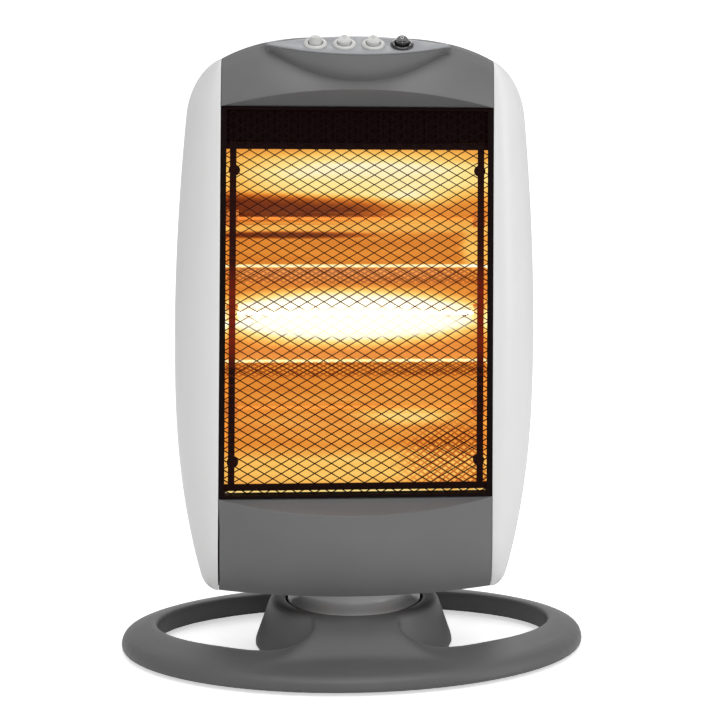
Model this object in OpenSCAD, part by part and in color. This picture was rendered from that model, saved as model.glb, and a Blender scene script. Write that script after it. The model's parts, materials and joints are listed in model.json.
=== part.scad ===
// Oscillating halogen heater: a body with three quartz tubes that turns on a pedestal
// in an oval ring base. The origin is on the floor under the swivel axis.
// +X is to the right seen from the front, +Y is to the rear, +Z is up. Sizes are in millimetres.

/* [Base ring] */
// Overall width of the oval ring
ring_width = 370; // [350:1:400]
// Overall depth of the oval ring
ring_depth = 250; // [242:1:264]
// Width of the ring's band at its two ends
band_at_ends = 28; // [24:0.5:34]
// Width of the ring's band at the front and rear
band_at_front = 43.6; // [38:0.2:48]
// Height of the ring's inner rim above its underside
ring_rise = 15.4; // [14:0.2:18]
// Wall of the moulded base
base_wall = 2.6; // [2:0.1:3.2]

/* [Pedestal] */
// Radius of the pedestal at its foot
pedestal_foot_r = 79.5; // [77:0.5:81]
// Radius of the pedestal at its shoulder
pedestal_top_r = 67.5; // [65:0.5:69]
// Height of the pedestal's rim above the floor
pedestal_top_z = 38.6; // [38:0.2:40]
// Width of the front and rear tongues at their waist
tongue_waist = 65; // [58:1:72]
// Thickness of the rubber feet below the ring
foot_stand = 2; // [1.5:0.1:3]

/* [Turntable] */
// Radius of the turntable disc
turntable_r = 53.6; // [51:0.2:55]
// Shadow gap between the turntable and the pedestal's rim
turntable_gap = 1.6; // [1:0.1:2]
// Radius of the spigot that turns in the pedestal
spigot_r = 14; // [13.5:0.5:15]
// Radial running clearance of the spigot
spigot_clearance = 0.08; // [0.04:0.01:0.1]

/* [Oscillation drive] */
// Distance from the swivel axis to the motor's shaft
crank_centre = 22; // [21:0.5:23]
// Throw of the crank pin
crank_throw = 12.6; // [12:0.1:13]
// Radius of the crank pin's roller
roller_r = 2.5; // [2:0.1:2.8]
// Side play of the roller in the yoke's slot
slot_play = 1.2; // [1.1:0.1:1.6]

/* [Body] */
// Half width of the front panels, at the seam with the side shells
seam_x = 106.4; // [104:0.2:108]
// Greatest half width of the body
body_half_w = 145; // [142:0.5:148]
// Height of the body's underside above the floor
body_z = 54.6; // [54:0.2:57]
// Depth of the body in front of the swivel axis
body_front = 48; // [46:0.5:50]
// Depth of the body behind the swivel axis
body_rear = 50; // [48:0.5:54]
// Wall of the plastic covers
wall = 2.5; // [2:0.1:3]
// Gap at the seams between the covers
seam_gap = 0.2; // [0.1:0.05:0.4]
// Lower edge of the window
window_low = 126.6; // [123:0.2:130]
// Upper edge of the window
window_high = 430.7; // [426:0.1:435]
// Height of the hood above the window
hood_h = 55.6; // [54:0.2:58]

/* [Lamps] */
// Height of the middle lamp
lamp_z = 267; // [264:0.5:270]
// Spacing of the three lamps
lamp_pitch = 75.4; // [72:0.2:77]
// Radius of a quartz tube
tube_r = 5; // [4:0.1:5.6]
// Radius of a ceramic end cap
cap_r = 6.8; // [6.4:0.1:8]
// Distance of the lamps in front of the swivel axis
lamp_front = 14; // [12:0.5:16]

/* [Guard] */
// Width of one diamond of the wire guard
mesh_w = 12.9; // [10:0.1:14]
// Height of one diamond of the wire guard
mesh_h = 7.75; // [6.5:0.05:9]
// Thickness of the guard's wire
mesh_wire = 1.1; // [0.9:0.1:1.4]
// Width of the bars behind the guard
bar_w = 5; // [4:0.2:6]

/* [Switches] */
// Spacing of the four rocker switches
switch_pitch = 22.5; // [21:0.1:23]
// Radius of a switch's bezel
bezel_r = 9.1; // [8.8:0.1:9.6]
// Radius of a rocker
rocker_r = 5.6; // [5.2:0.1:5.8]
// Half of a rocker's travel in degrees
rocker_tilt = 14; // [10:1:15]
// Slope of the control plate in degrees
plate_slope = 32.6; // [30:0.2:35]

/* [Hidden] */

base_grey = "#4a4a4b";
panel_grey = "#76767a";
shell_white = "#e4e4e2";
black_steel = "#1c1816";
bright_steel = "#c9c2b4";
zinc = "#a8a8a4";
ceramic = "#ece6da";
silver = "#a9a9ab";

// ---------- general shapes ----------

// Solid between two matching sheets of points, each a list of rows.
module thick_sheet(outer, inner) {
    m = len(outer);
    n = len(outer[0]);
    pts = concat([for (r = outer) each r], [for (r = inner) each r]);
    function o(i, j) = i * n + j;
    function k(i, j) = m * n + i * n + j;
    function quad(a, b, c, d) = [[a, b, c], [a, c, d]];
    faces = concat(
        [for (i = [0:m - 2], j = [0:n - 2]) each quad(o(i, j), o(i + 1, j), o(i + 1, j + 1), o(i, j + 1))],
        [for (i = [0:m - 2], j = [0:n - 2]) each quad(k(i, j), k(i, j + 1), k(i + 1, j + 1), k(i + 1, j))],
        [for (j = [0:n - 2]) each quad(o(0, j), o(0, j + 1), k(0, j + 1), k(0, j))],
        [for (j = [0:n - 2]) each quad(o(m - 1, j), k(m - 1, j), k(m - 1, j + 1), o(m - 1, j + 1))],
        [for (i = [0:m - 2]) each quad(o(i, 0), k(i, 0), k(i + 1, 0), o(i + 1, 0))],
        [for (i = [0:m - 2]) each quad(o(i, n - 1), o(i + 1, n - 1), k(i + 1, n - 1), k(i, n - 1))]);
    polyhedron(pts, faces, convexity = 8);
}

// Solid skinned over a stack of closed sections, with flat ends.
module skin(rings) {
    m = len(rings);
    n = len(rings[0]);
    pts = [for (r = rings) each r];
    faces = concat(
        [for (i = [0:m - 2], j = [0:n - 1]) let (q = (j + 1) % n)
            each [[i * n + j, (i + 1) * n + j, (i + 1) * n + q], [i * n + j, (i + 1) * n + q, i * n + q]]],
        [[for (j = [0:n - 1]) j]],
        [[for (j = [n - 1:-1:0]) (m - 1) * n + j]]);
    polyhedron(pts, faces, convexity = 6);
}

// Closed band skinned round a loop of sections.
module skin_loop(rings) {
    m = len(rings);
    n = len(rings[0]);
    pts = [for (r = rings) each r];
    faces = [for (i = [0:m - 1], j = [0:n - 1]) let (p = (i + 1) % m, q = (j + 1) % n)
        each [[i * n + j, p * n + q, i * n + q], [i * n + j, p * n + j, p * n + q]]];
    polyhedron(pts, faces, convexity = 6);
}

// A profile of [y, z] points moved inwards by t along its own normals.
function inset(p, t) = [for (j = [0:len(p) - 1])
    let (a = p[max(j - 1, 0)], b = p[min(j + 1, len(p) - 1)], d = b - a, l = norm(d))
    p[j] + t * [d[1], -d[0]] / l];

// A profile of [y, z] points placed at a given x.
function at_x(x, p) = [for (q = p) [x, q[0], q[1]]];

module rod_x(r, l) { rotate([0, 90, 0]) cylinder(r = r, h = l, center = true, $fn = 48); }
module rod_y(r, l) { rotate([-90, 0, 0]) cylinder(r = r, h = l, $fn = 32); }

// Pan-head screw with its head up at z = 0 and its shank down, with a cross recess.
module screw(head_r = 3.2, shank_r = 1.6, shank_l = 8) {
    difference() {
        union() {
            cylinder(r1 = head_r, r2 = head_r * 0.75, h = head_r * 0.6, $fn = 24);
            translate([0, 0, -shank_l]) cylinder(r = shank_r, h = shank_l, $fn = 20);
        }
        for (a = [0, 90]) rotate([0, 0, a]) translate([-head_r * 0.55, -0.4, head_r * 0.25])
            cube([head_r * 1.1, 0.8, head_r]);
    }
}

// ---------- base ----------
ring_z = foot_stand;
outer_a = ring_width / 2;
outer_b = ring_depth / 2;
inner_a = outer_a - band_at_ends;
inner_b = outer_b - band_at_front;
ring_steps = 72;
// The band's section: share of the way from the inner to the outer edge, share of the rise.
band_skin = [[0, 0], [0, 0.86], [0.05, 0.97], [0.13, 1], [0.4, 0.95], [0.68, 0.85], [0.86, 0.72], [0.95, 0.54],
    [1, 0.28], [0.985, 0.08], [0.95, 0]];
band_core = [[0.87, 0], [0.9, 0.26], [0.8, 0.5], [0.62, 0.68], [0.38, 0.8], [0.16, 0.84], [0.085, 0.72],
    [0.085, 0]];
function band_point(t, p) = let (s = p[0])
    [((1 - s) * inner_a + s * outer_a) * cos(t), ((1 - s) * inner_b + s * outer_b) * sin(t),
        ring_z + p[1] * ring_rise];
module ring_band() {
    skin_loop([for (i = [0:ring_steps - 1]) let (t = 360 * i / ring_steps)
        [for (p = concat(band_skin, band_core)) band_point(t, p)]]);
}

seat_z = pedestal_top_z - 6;      // top of the turntable's seat
seat_t = 3;                       // thickness of the seat
bore_r = spigot_r + spigot_clearance;
boss_ring_r = 26;                 // screw bosses under the seat
post_flange_z = 16;               // underside of the post's flange
post_flange_t = 3;
cover_screw_r = 60;               // ring of the base cover's screws
cover_t = 2;

module pedestal_shell() {
    inner_lip = turntable_r + turntable_gap;
    rotate_extrude($fn = 120) polygon([
        [pedestal_foot_r, ring_z], [pedestal_foot_r - 0.6, ring_z + 3], [pedestal_top_r + 1.6, pedestal_top_z - 6],
        [pedestal_top_r, pedestal_top_z - 2.6], [pedestal_top_r - 2.4, pedestal_top_z - 0.6],
        [pedestal_top_r - 5, pedestal_top_z], [inner_lip, pedestal_top_z], [inner_lip, seat_z],
        [bore_r, seat_z], [bore_r, seat_z - seat_t], [pedestal_top_r - 2.2, seat_z - seat_t],
        [pedestal_foot_r - base_wall - 0.6, ring_z + 3], [pedestal_foot_r - base_wall, ring_z]]);
}

// Ramp from the pedestal's rim down to the ring, at the front (side = -1) or the rear (side = 1).
ramp_foot = 76;                   // half width of the ramp where it runs out on the ring
ramp_low = ring_z + ring_rise - 0.6;
ramp_top = pedestal_top_z - 0.6;
ramp_run = 16;                    // how far the ramp reaches over the ring's band
pocket_r = 12.3;                  // hollow beside the ramp, between the pedestal and the ring
pocket_x = tongue_waist / 2 + pocket_r;
pocket_y = inner_b - 16;
ramp_steps = 9;
module tongue(side) {
    near = pedestal_top_r - 11;
    far = inner_b + ramp_run;
    deep = ramp_low - 3;
    flank = [for (i = [0:ramp_steps]) let (t = 90 * i / ramp_steps)
        [ramp_foot - (ramp_foot - tongue_waist / 2) * sin(t), ramp_low + (ramp_top - ramp_low) * (1 - cos(t))]];
    mirror([0, side > 0 ? 0 : 1, 0]) difference() {
        intersection() {
            translate([0, far, 0]) rotate([90, 0, 0]) linear_extrude(height = far - near)
                polygon(concat([[ramp_foot, deep]], flank,
                    [for (i = [ramp_steps:-1:0]) [-flank[i][0], flank[i][1]]], [[-ramp_foot, deep]]));
            rotate([90, 0, 90]) linear_extrude(height = ramp_foot * 2.2, center = true) polygon([
                [near, deep], [near, ramp_top], [pedestal_top_r - 4, ramp_top], [pedestal_top_r, ramp_top - 1.8],
                [far, ring_z + ring_rise * 0.96], [far, deep]]);
        }
        cylinder(r = pedestal_top_r - 8, h = pedestal_top_z, $fn = 96);
        for (m = [0, 1]) mirror([m, 0, 0]) {
            translate([pocket_x, pocket_y, 0]) cylinder(r = pocket_r, h = pedestal_top_z, $fn = 48);
            linear_extrude(height = pedestal_top_z) polygon(concat([[pocket_x, 0]],
                [for (i = [0:8]) let (x = pocket_x + (ramp_foot + 4 - pocket_x) * i / 8)
                    [x, inner_b * sqrt(1 - pow(x / inner_a, 2)) - 0.3]], [[ramp_foot + 4, 0]]));
        }
    }
}

// Screw bosses below the seat, for the swivel post, and at the foot, for the base cover.
module base_bosses() {
    for (a = [90, 210, 330]) rotate([0, 0, a]) translate([boss_ring_r, 0, post_flange_z + post_flange_t])
        difference() {
            cylinder(r = 4, h = seat_z - seat_t - post_flange_z - post_flange_t + 0.5, $fn = 32);
            translate([0, 0, -1]) cylinder(r = 1.6, h = 9, $fn = 24);
        }
    for (a = [45:90:315]) rotate([0, 0, a]) translate([cover_screw_r, 0, ring_z + cover_t])
        difference() {
            cylinder(r = 4, h = seat_z - seat_t - ring_z - cover_t + 0.5, $fn = 32);
            translate([0, 0, -1]) cylinder(r = 1.6, h = 10, $fn = 24);
        }
}

foot_angles = [35, 90, 145, 215, 270, 325];
foot_r = 7;
function foot_place(a) = [(outer_a + inner_a) / 2 * cos(a), (outer_b + inner_b) / 2 * sin(a)];

module base_moulding() {
    color(base_grey) {
        union() {
            ring_band();
            pedestal_shell();
            tongue(-1);
            tongue(1);
            base_bosses();
            for (a = foot_angles) translate([each foot_place(a), ring_z])
                cylinder(r = foot_r, h = ring_rise * 0.8, $fn = 40);
        }
    }
}

plunger_y = -40;
plunger_r = 4;
plunger_travel = 4;

plunger_boss_h = 5;
plunger_flange_z = ring_z + plunger_boss_h + plunger_travel + 0.3;
plunger_flange_t = 1.2;
plunger_tip_z = plunger_flange_z + plunger_flange_t + 2.5;
vent_slot = [12, 3];
vent_ring_r = 38;                 // inner ends of the base cover's vent slots

module base_cover() {
    color(base_grey) translate([0, 0, ring_z]) difference() {
        union() {
            cylinder(r = pedestal_foot_r - base_wall - 1, h = cover_t, $fn = 96);
            translate([0, plunger_y, 0]) cylinder(r = plunger_r + 2.5, h = plunger_boss_h, $fn = 40);
        }
        translate([0, plunger_y, -1]) cylinder(r = plunger_r + 0.08, h = plunger_boss_h + 2, $fn = 48);
        for (a = [45:90:315]) rotate([0, 0, a]) translate([cover_screw_r, 0, -1])
            cylinder(r = 1.9, h = cover_t + 2, $fn = 24);
        for (a = [0:30:240]) rotate([0, 0, a]) translate([vent_ring_r, -vent_slot[1] / 2, -1])
            cube([vent_slot[0], vent_slot[1], cover_t + 2]);
    }
}

module base_cover_screws() {
    color(zinc) for (a = [45:90:315]) rotate([0, 0, a]) translate([cover_screw_r, 0, ring_z])
        mirror([0, 0, 1]) screw(head_r = 2.6, shank_r = 1.5, shank_l = 9);
}

module rubber_feet() {
    color("#202020") for (a = foot_angles) translate([each foot_place(a), 0])
        rotate_extrude($fn = 40) polygon([[0, 0], [foot_r - 1.4, 0], [foot_r - 0.4, ring_z], [0, ring_z]]);
}

post_r = 7.6;
post_top = pedestal_top_z + 6;
yoke_z = post_top;
yoke_t = 3;

module swivel_post() {
    color(zinc) difference() {
        rotate_extrude($fn = 72) polygon([[5, post_flange_z], [boss_ring_r + 5, post_flange_z],
            [boss_ring_r + 5, post_flange_z + post_flange_t], [post_r + 2, post_flange_z + post_flange_t],
            [post_r, post_flange_z + post_flange_t + 3], [post_r, post_top], [5, post_top]]);
        for (a = [90, 210, 330]) rotate([0, 0, a]) translate([boss_ring_r, 0, post_flange_z - 1])
            cylinder(r = 1.9, h = 6, $fn = 24);
    }
}

module post_screws() {
    color(zinc) for (a = [90, 210, 330]) rotate([0, 0, a]) translate([boss_ring_r, 0, post_flange_z])
        mirror([0, 0, 1]) screw(head_r = 3, shank_r = 1.5, shank_l = 10);
}

slot_half = roller_r + slot_play;
slot_near = sqrt(pow(crank_centre, 2) + pow(crank_throw, 2) + 2 * crank_centre * crank_throw * cos(110)) - 1;
slot_far = crank_centre + crank_throw + 0.6;
yoke_half = slot_half + 2.6;
turntable_screw_angles = [20, 160, 230, 310];
ring_screw_angles = [30, 150, 270];
neck_in_r = slot_far + yoke_half + 1;   // inside radius of the turntable's neck
neck_r = neck_in_r + 2.4;

// Slotted arm that stands still on the post: the crank's roller runs in its slot.
module yoke_arm() {
    color(zinc) translate([0, 0, yoke_z]) difference() {
        linear_extrude(height = yoke_t) difference() {
            union() {
                circle(r = post_r + 2, $fn = 48);
                translate([-yoke_half, 0]) square([yoke_half * 2, slot_far]);
                translate([0, slot_far]) circle(r = yoke_half, $fn = 48);
            }
            translate([-slot_half, slot_near]) square([slot_half * 2, slot_far - slot_near]);
            for (y = [slot_near, slot_far]) translate([0, y]) circle(r = slot_half, $fn = 32);
            circle(r = 2, $fn = 32);
        }
    }
}

module yoke_screw() {
    color(zinc) translate([0, 0, yoke_z + yoke_t]) {
        difference() {
            union() {
                cylinder(r1 = 4.4, r2 = 3.6, h = 1.8, $fn = 32);
                translate([0, 0, -yoke_t - 8]) cylinder(r = 1.9, h = yoke_t + 8, $fn = 24);
                translate([0, 0, -yoke_t - 8]) cylinder(r = 4.9, h = 8, $fn = 32);
            }
            for (a = [0, 90]) rotate([0, 0, a]) translate([-2.5, -0.5, 0.8]) cube([5, 1, 2]);
        }
    }
}

switch_box = [20, 7, 9];
module tip_switch() {
    low = plunger_tip_z + 0.3;
    color("#2b2b2b") {
        translate([-switch_box[0] / 2, plunger_y - switch_box[1] / 2, low]) cube(switch_box);
        for (s = [-1, 1])
            translate([s * (switch_box[0] / 2 + 2) - 2, plunger_y - switch_box[1] / 2, ring_z + cover_t])
            cube([4, switch_box[1], low + switch_box[2] - ring_z - cover_t]);
        for (x = [-6, 0, 6])
            translate([x - 0.4, plunger_y - 1.6, low + switch_box[2] - 0.1]) cube([0.8, 3.2, 4]);
    }
}

module tip_plunger() {
    color("#d8d8d8") translate([0, plunger_y, 0]) rotate_extrude($fn = 48) polygon([
        [0, 0], [plunger_r - 1, 0], [plunger_r, 1], [plunger_r, plunger_flange_z], [plunger_r + 1.6, plunger_flange_z],
        [plunger_r + 1.6, plunger_flange_z + plunger_flange_t], [1.6, plunger_flange_z + plunger_flange_t],
        [1.6, plunger_tip_z], [0, plunger_tip_z]]);
}

// ---------- turntable ----------
glide_t = 0.6;
disc_z = seat_z + glide_t;
spigot_end = seat_z - seat_t - 0.3;
spigot_in_r = post_r + 1.6;
disc_floor = 2.4;
floor_z = body_z + 2;             // underside of the body's floor plate
floor_t = 2;
ring_screw_r = (spigot_r + spigot_in_r) / 2;
neck_screw_r = neck_in_r - 3;

module glide_washer() {
    color("#d9d9d2") translate([0, 0, seat_z]) difference() {
        cylinder(r = turntable_r - 6, h = glide_t, $fn = 96);
        translate([0, 0, -1]) cylinder(r = spigot_r + 2, h = glide_t + 2, $fn = 72);
    }
}

module turntable() {
    color(base_grey) difference() {
        union() {
            rotate_extrude($fn = 120) polygon([
                [spigot_in_r, spigot_end], [spigot_r, spigot_end], [spigot_r, disc_z], [turntable_r - 1.2, disc_z],
                [turntable_r, disc_z + 1.2], [turntable_r, disc_z + 7], [turntable_r - 1.2, disc_z + 9],
                [turntable_r - 4, disc_z + 10.2], [neck_r + 1.5, disc_z + 11], [neck_r, disc_z + 13],
                [neck_r, floor_z], [neck_in_r, floor_z], [neck_in_r, disc_z + disc_floor],
                [spigot_in_r, disc_z + disc_floor]]);
            for (a = turntable_screw_angles)
                rotate([0, 0, a]) translate([neck_screw_r, 0, disc_z + disc_floor - 0.5])
                cylinder(r = 4, h = floor_z - disc_z - disc_floor, $fn = 32);
        }
        for (a = ring_screw_angles) rotate([0, 0, a]) translate([ring_screw_r, 0, spigot_end - 1])
            cylinder(r = 0.9, h = 6.4, $fn = 20);
        for (a = turntable_screw_angles) rotate([0, 0, a]) translate([neck_screw_r, 0, floor_z - 10])
            cylinder(r = 1.5, h = 11, $fn = 24);
    }
}

module retaining_ring() {
    color(zinc) translate([0, 0, spigot_end - 2.4]) difference() {
        cylinder(r = spigot_r + 4, h = 2.4, $fn = 72);
        translate([0, 0, -1]) cylinder(r = spigot_in_r, h = 5, $fn = 72);
        for (a = ring_screw_angles) rotate([0, 0, a]) translate([ring_screw_r, 0, -1])
            cylinder(r = 1.1, h = 5, $fn = 20);
    }
}

module retaining_screws() {
    color(zinc) for (a = ring_screw_angles) rotate([0, 0, a]) translate([ring_screw_r, 0, spigot_end - 2.4])
        mirror([0, 0, 1]) screw(head_r = 1.8, shank_r = 0.85, shank_l = 7);
}

module turntable_screws() {
    color(zinc) for (a = turntable_screw_angles) rotate([0, 0, a]) translate([neck_screw_r, 0, floor_z + floor_t])
        screw(head_r = 2.8, shank_r = 1.4, shank_l = 9);
}

// ---------- body floor and drive ----------
motor_r = 20;
motor_h = 17;
motor_z = floor_z + floor_t + 3;
shaft_r = 2.5;
shaft_clearance = 0.06;
crank_top = floor_z - 1.6;
crank_t = 3;
motor_screw_x = motor_r + 4;

module body_floor() {
    color(black_steel) difference() {
        translate([0, 0, floor_z]) linear_extrude(height = floor_t) union() {
            circle(r = neck_r, $fn = 96);
            translate([-chassis_x + chassis_t, -floor_front])
                square([(chassis_x - chassis_t) * 2, floor_front + floor_rear]);
        }
        translate([0, crank_centre, floor_z - 1]) cylinder(r = shaft_r + 2, h = floor_t + 2, $fn = 32);
        for (a = turntable_screw_angles) rotate([0, 0, a]) translate([neck_screw_r, 0, floor_z - 1])
            cylinder(r = 1.6, h = floor_t + 2, $fn = 24);
        for (s = [-1, 1]) translate([s * motor_screw_x, crank_centre, floor_z - 1])
            cylinder(r = 1.5, h = floor_t + 2, $fn = 24);
        translate([0, 0, floor_z - 1]) cylinder(r = 6, h = floor_t + 2, $fn = 32);
    }
}

module motor() {
    color("#8d8f92") translate([0, crank_centre, 0]) difference() {
        union() {
            translate([0, 0, motor_z]) cylinder(r = motor_r, h = motor_h, $fn = 72);
            translate([0, 0, floor_z + floor_t]) cylinder(r = 7, h = 3.5, $fn = 48);
            for (s = [-1, 1])
                translate([s * motor_screw_x, 0, floor_z + floor_t]) cylinder(r = 3.6, h = 4.2, $fn = 32);
            translate([-motor_screw_x, -3, motor_z]) cube([motor_screw_x * 2, 6, 1.2]);
            translate([-7, -motor_r - 3, motor_z + 4]) cube([14, 6, 9]);
        }
        translate([0, 0, floor_z]) cylinder(r = shaft_r + shaft_clearance, h = 14, $fn = 48);
        for (s = [-1, 1]) translate([s * motor_screw_x, 0, floor_z]) cylinder(r = 1.6, h = 10, $fn = 24);
    }
}

module motor_screws() {
    color(zinc) for (s = [-1, 1]) translate([s * motor_screw_x, crank_centre, floor_z + floor_t + 4.2])
        screw(head_r = 2.8, shank_r = 1.45, shank_l = 6);
}

// Crank with its shaft in the motor and its pin in the yoke's slot.
module crank() {
    color(zinc) {
        translate([0, 0, crank_top - crank_t]) linear_extrude(height = crank_t) union() {
            translate([0, crank_centre]) circle(r = 5, $fn = 40);
            translate([-3.4, crank_centre]) square([6.8, crank_throw]);
            translate([0, crank_centre + crank_throw]) circle(r = 3.4, $fn = 36);
        }
        translate([0, crank_centre, crank_top - 0.5])
            cylinder(r = shaft_r, h = floor_z + floor_t + 9 - crank_top, $fn = 40);
        translate([0, crank_centre + crank_throw, yoke_z - 0.6])
            cylinder(r = roller_r, h = crank_top - crank_t + 1 - yoke_z, $fn = 40);
    }
}

// ---------- covers of the body ----------
hood_z = window_high + hood_h;     // height of the hood's crown
widest_z = 262;                   // height of the greatest width
taper_h = 190;                    // height over which the width tapers, up or down
foot_taper = 18.8;                // loss of half width down to the foot
head_taper = 10.7;                // loss of half width up to the shoulder
foot_power = 2.72;
head_power = 1.83;
corner_z = hood_z - 61.3;         // start of the rounded top corner
corner_depth = 26;
foot_round = 5;
crown_drop = 18;                  // fall of the crown from the middle to the seam
crown_power = 3.3;
edge_round = 8;
face_lean = 2;
curl_h = 36;                      // height of the front's curl under the body
curl_z = body_z + curl_h;
curl_depth = 9;
widest_y = 2;                     // depth of the greatest width
rear_seam_y = 26;
rear_seam_in = 1.5;
chassis_x = seam_x + 4.2;
chassis_t = 1.5;
floor_front = 33;
floor_rear = 24;

function crown(x) = hood_z - crown_drop * pow(abs(x) / seam_x, crown_power);
seam_top = crown(seam_x);
// Loss of half width in the rounded corners, at the foot and at the top.
function foot_inset(z) = z < body_z + foot_round
    ? foot_round - sqrt(pow(foot_round, 2) - pow(body_z + foot_round - z, 2)) : 0;
function corner_inset(z) = z > corner_z
    ? corner_depth * (1 - sqrt(max(0, 1 - pow((z - corner_z) / (seam_top - corner_z), 2)))) : 0;
function half_w(z) = body_half_w - foot_inset(z) - corner_inset(z) - (z < widest_z
    ? foot_taper * pow((widest_z - z) / taper_h, foot_power)
    : head_taper * pow((z - widest_z) / taper_h, head_power));
// Depth of the front seam between the panels and the side shells.
function curl(z) = z < curl_z ? curl_depth * pow((curl_z - z) / (curl_z - body_z), 2) : 0;
function lean(z) = z > window_high
    ? face_lean * min(1, (z - window_high) / (seam_top - edge_round - window_high)) : 0;
function top_round(z) = z > seam_top - edge_round
    ? edge_round - sqrt(max(0, pow(edge_round, 2) - pow(z - seam_top + edge_round, 2))) : 0;
function seam_y(z) = -body_front + curl(z) + lean(z) + top_round(z);

shell_top = seam_top - 0.2;
shell_foot = body_z + foot_round + 18;
shell_levels = concat([for (t = [0:22.5:90]) body_z + foot_round * (1 - cos(t))],
    [for (k = [0:12]) shell_foot + (corner_z - shell_foot) * k / 13],
    [for (t = [0:6]) corner_z + (shell_top - corner_z) * sin(t * 15)]);
shell_turns = 8;
shell_lip = 0.6;                  // hollow that is left inside the shell's topmost edge
function shell_row(z, d) = let (w = max(half_w(z), seam_x + wall + shell_lip) - d, f = seam_y(z) + d)
    concat([for (i = [0:shell_turns]) let (t = 90 * i / shell_turns)
        [max(seam_x + seam_gap, seam_x + seam_gap + (w - seam_x - seam_gap) * sin(t)),
            widest_y + (f - widest_y) * cos(t), z]],
        [for (y = [(widest_y + rear_seam_y) / 2, rear_seam_y - seam_gap])
            [max(seam_x + seam_gap, w - rear_seam_in * pow((y - widest_y) / (rear_seam_y - widest_y), 2)),
                y, z]]);

module side_shell() {
    thick_sheet([for (z = shell_levels) shell_row(z, 0)], [for (z = shell_levels) shell_row(z, wall)]);
}

module right_shell() { color(shell_white) side_shell(); }
module left_shell() { color(shell_white) mirror([1, 0, 0]) side_shell(); }

// The front panels bulge forwards towards the middle: 0 at the seams and 1 in the middle.
function bulge(x) = 1 - pow(x / seam_x, 2);
panel_rows = 20;
panel_x = [for (i = [0:panel_rows]) (seam_x - seam_gap) * (2 * i / panel_rows - 1)];
hood_bulge = 18;
panel_bulge = 24;
hood_crease = 13;                 // rise of the hood's crease in the middle
panel_crease = 10;                // fall of the lower panel's crease in the middle

// Profiles run from the window's edge over a crease: down the lower panel, and up the hood.
function lower_profile(x) = let (
    b = bulge(x), f = -body_front - panel_bulge * b, crease = window_low - panel_crease * b)
    concat([[-body_front + 3, window_low], [-body_front - 0.5 - (hood_bulge - 0.5) * b, crease],
        [f + 3.4 * b, crease + (curl_z - crease) * 0.33], [f + 0.6 * b, crease + (curl_z - crease) * 0.67], [f, curl_z]],
        [for (t = [0.7, 0.43, 0.2]) [f + curl(body_z + curl_h * t), body_z + curl_h * t]],
        [[f + curl_depth + 0.5, body_z]]);

module lower_panel() {
    color(panel_grey) thick_sheet([for (x = panel_x) at_x(x, lower_profile(x))],
        [for (x = panel_x) at_x(x, inset(lower_profile(x), -wall))]);
}

// Control pod: a lens-shaped slope that carries the switches.
pod_x = 74.5;                     // half length of the pod
pod_half = 15;                    // half width of its slope
pod_y = -body_front - 1.6;        // middle of the slope
pod_z = hood_z - 8.4;
pod_fall = 27.3;                  // depth of the pod's front below its middle
plate_t = 1.6;
function lens(x) = abs(x) < pod_x ? 1 - pow(x / pod_x, 2) : 0;
function face_y(x, z) = let (
    b = bulge(x), y0 = -body_front - hood_bulge * b, z0 = window_high + hood_crease * b,
    z1 = crown(x) - edge_round) y0 + (-body_front + face_lean - y0) * min(1, max(0, (z - z0) / (z1 - z0)));
function hood_profile(x) = let (b = bulge(x), l = lens(x), h = pod_half * l, top = crown(x),
    zc = min(pod_z - pod_fall * l, top - edge_round - 1),
    ef = [pod_y - h * cos(plate_slope), min(pod_z, top - 1.5) - h * sin(plate_slope)],
    er = [pod_y + h * cos(plate_slope), min(pod_z, top - 1.5) + h * sin(plate_slope)],
    r0 = -body_front + face_lean,
    c = [face_y(x, zc), zc],
    pf = l > 0 ? ef : [r0 + edge_round * (1 - cos(40)), top - edge_round * (1 - sin(40))],
    pr = l > 0 ? er : [r0 + edge_round * (1 - cos(70)), top - edge_round * (1 - sin(70))]) [
    [-body_front + 2.8, window_high], [-body_front - 0.5 - (hood_bulge - 0.5) * b, window_high + hood_crease * b],
    (c + [-body_front - hood_bulge * b, window_high + hood_crease * b]) / 2, c,
    c * 0.5 + pf * 0.5 + [-1.6, -1] * l, pf, pr,
    [max(r0 + edge_round, pr[0] + 4), max(top, pr[1] + 0.4)], [(rear_seam_y + pr[0]) / 2, top + 0.4 * l],
    [rear_seam_y - seam_gap, top - 1]];

switch_places = [for (i = [0:3]) (i - 1.5) * switch_pitch];
module on_plate() { translate([0, pod_y, pod_z]) rotate([plate_slope, 0, 0]) children(); }
switch_depth = 16;

module hood() {
    color(panel_grey) difference() {
        thick_sheet([for (x = panel_x) at_x(x, inset(hood_profile(x), wall))],
            [for (x = panel_x) at_x(x, hood_profile(x))]);
        on_plate() for (x = switch_places) translate([x, 0, -8]) cylinder(r = bezel_r - 1, h = 16, $fn = 40);
    }
}

module control_plate() {
    half = pod_half - 0.8;
    lens_r = (pow(pod_x - 3, 2) + pow(half, 2)) / (2 * half);
    color(silver) on_plate() difference() {
        linear_extrude(height = plate_t) intersection() {
            translate([0, lens_r - half]) circle(r = lens_r, $fn = 240);
            translate([0, half - lens_r]) circle(r = lens_r, $fn = 240);
        }
        for (x = switch_places) translate([x, 0, -1]) cylinder(r = bezel_r - 1, h = plate_t + 2, $fn = 40);
    }
}

// Switch seated in the plate: a round bezel with a body that goes down through the hood.
rocker_gap = 0.35;                // play between a rocker and its bezel
function switch_x(i) = switch_places[i];

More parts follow.
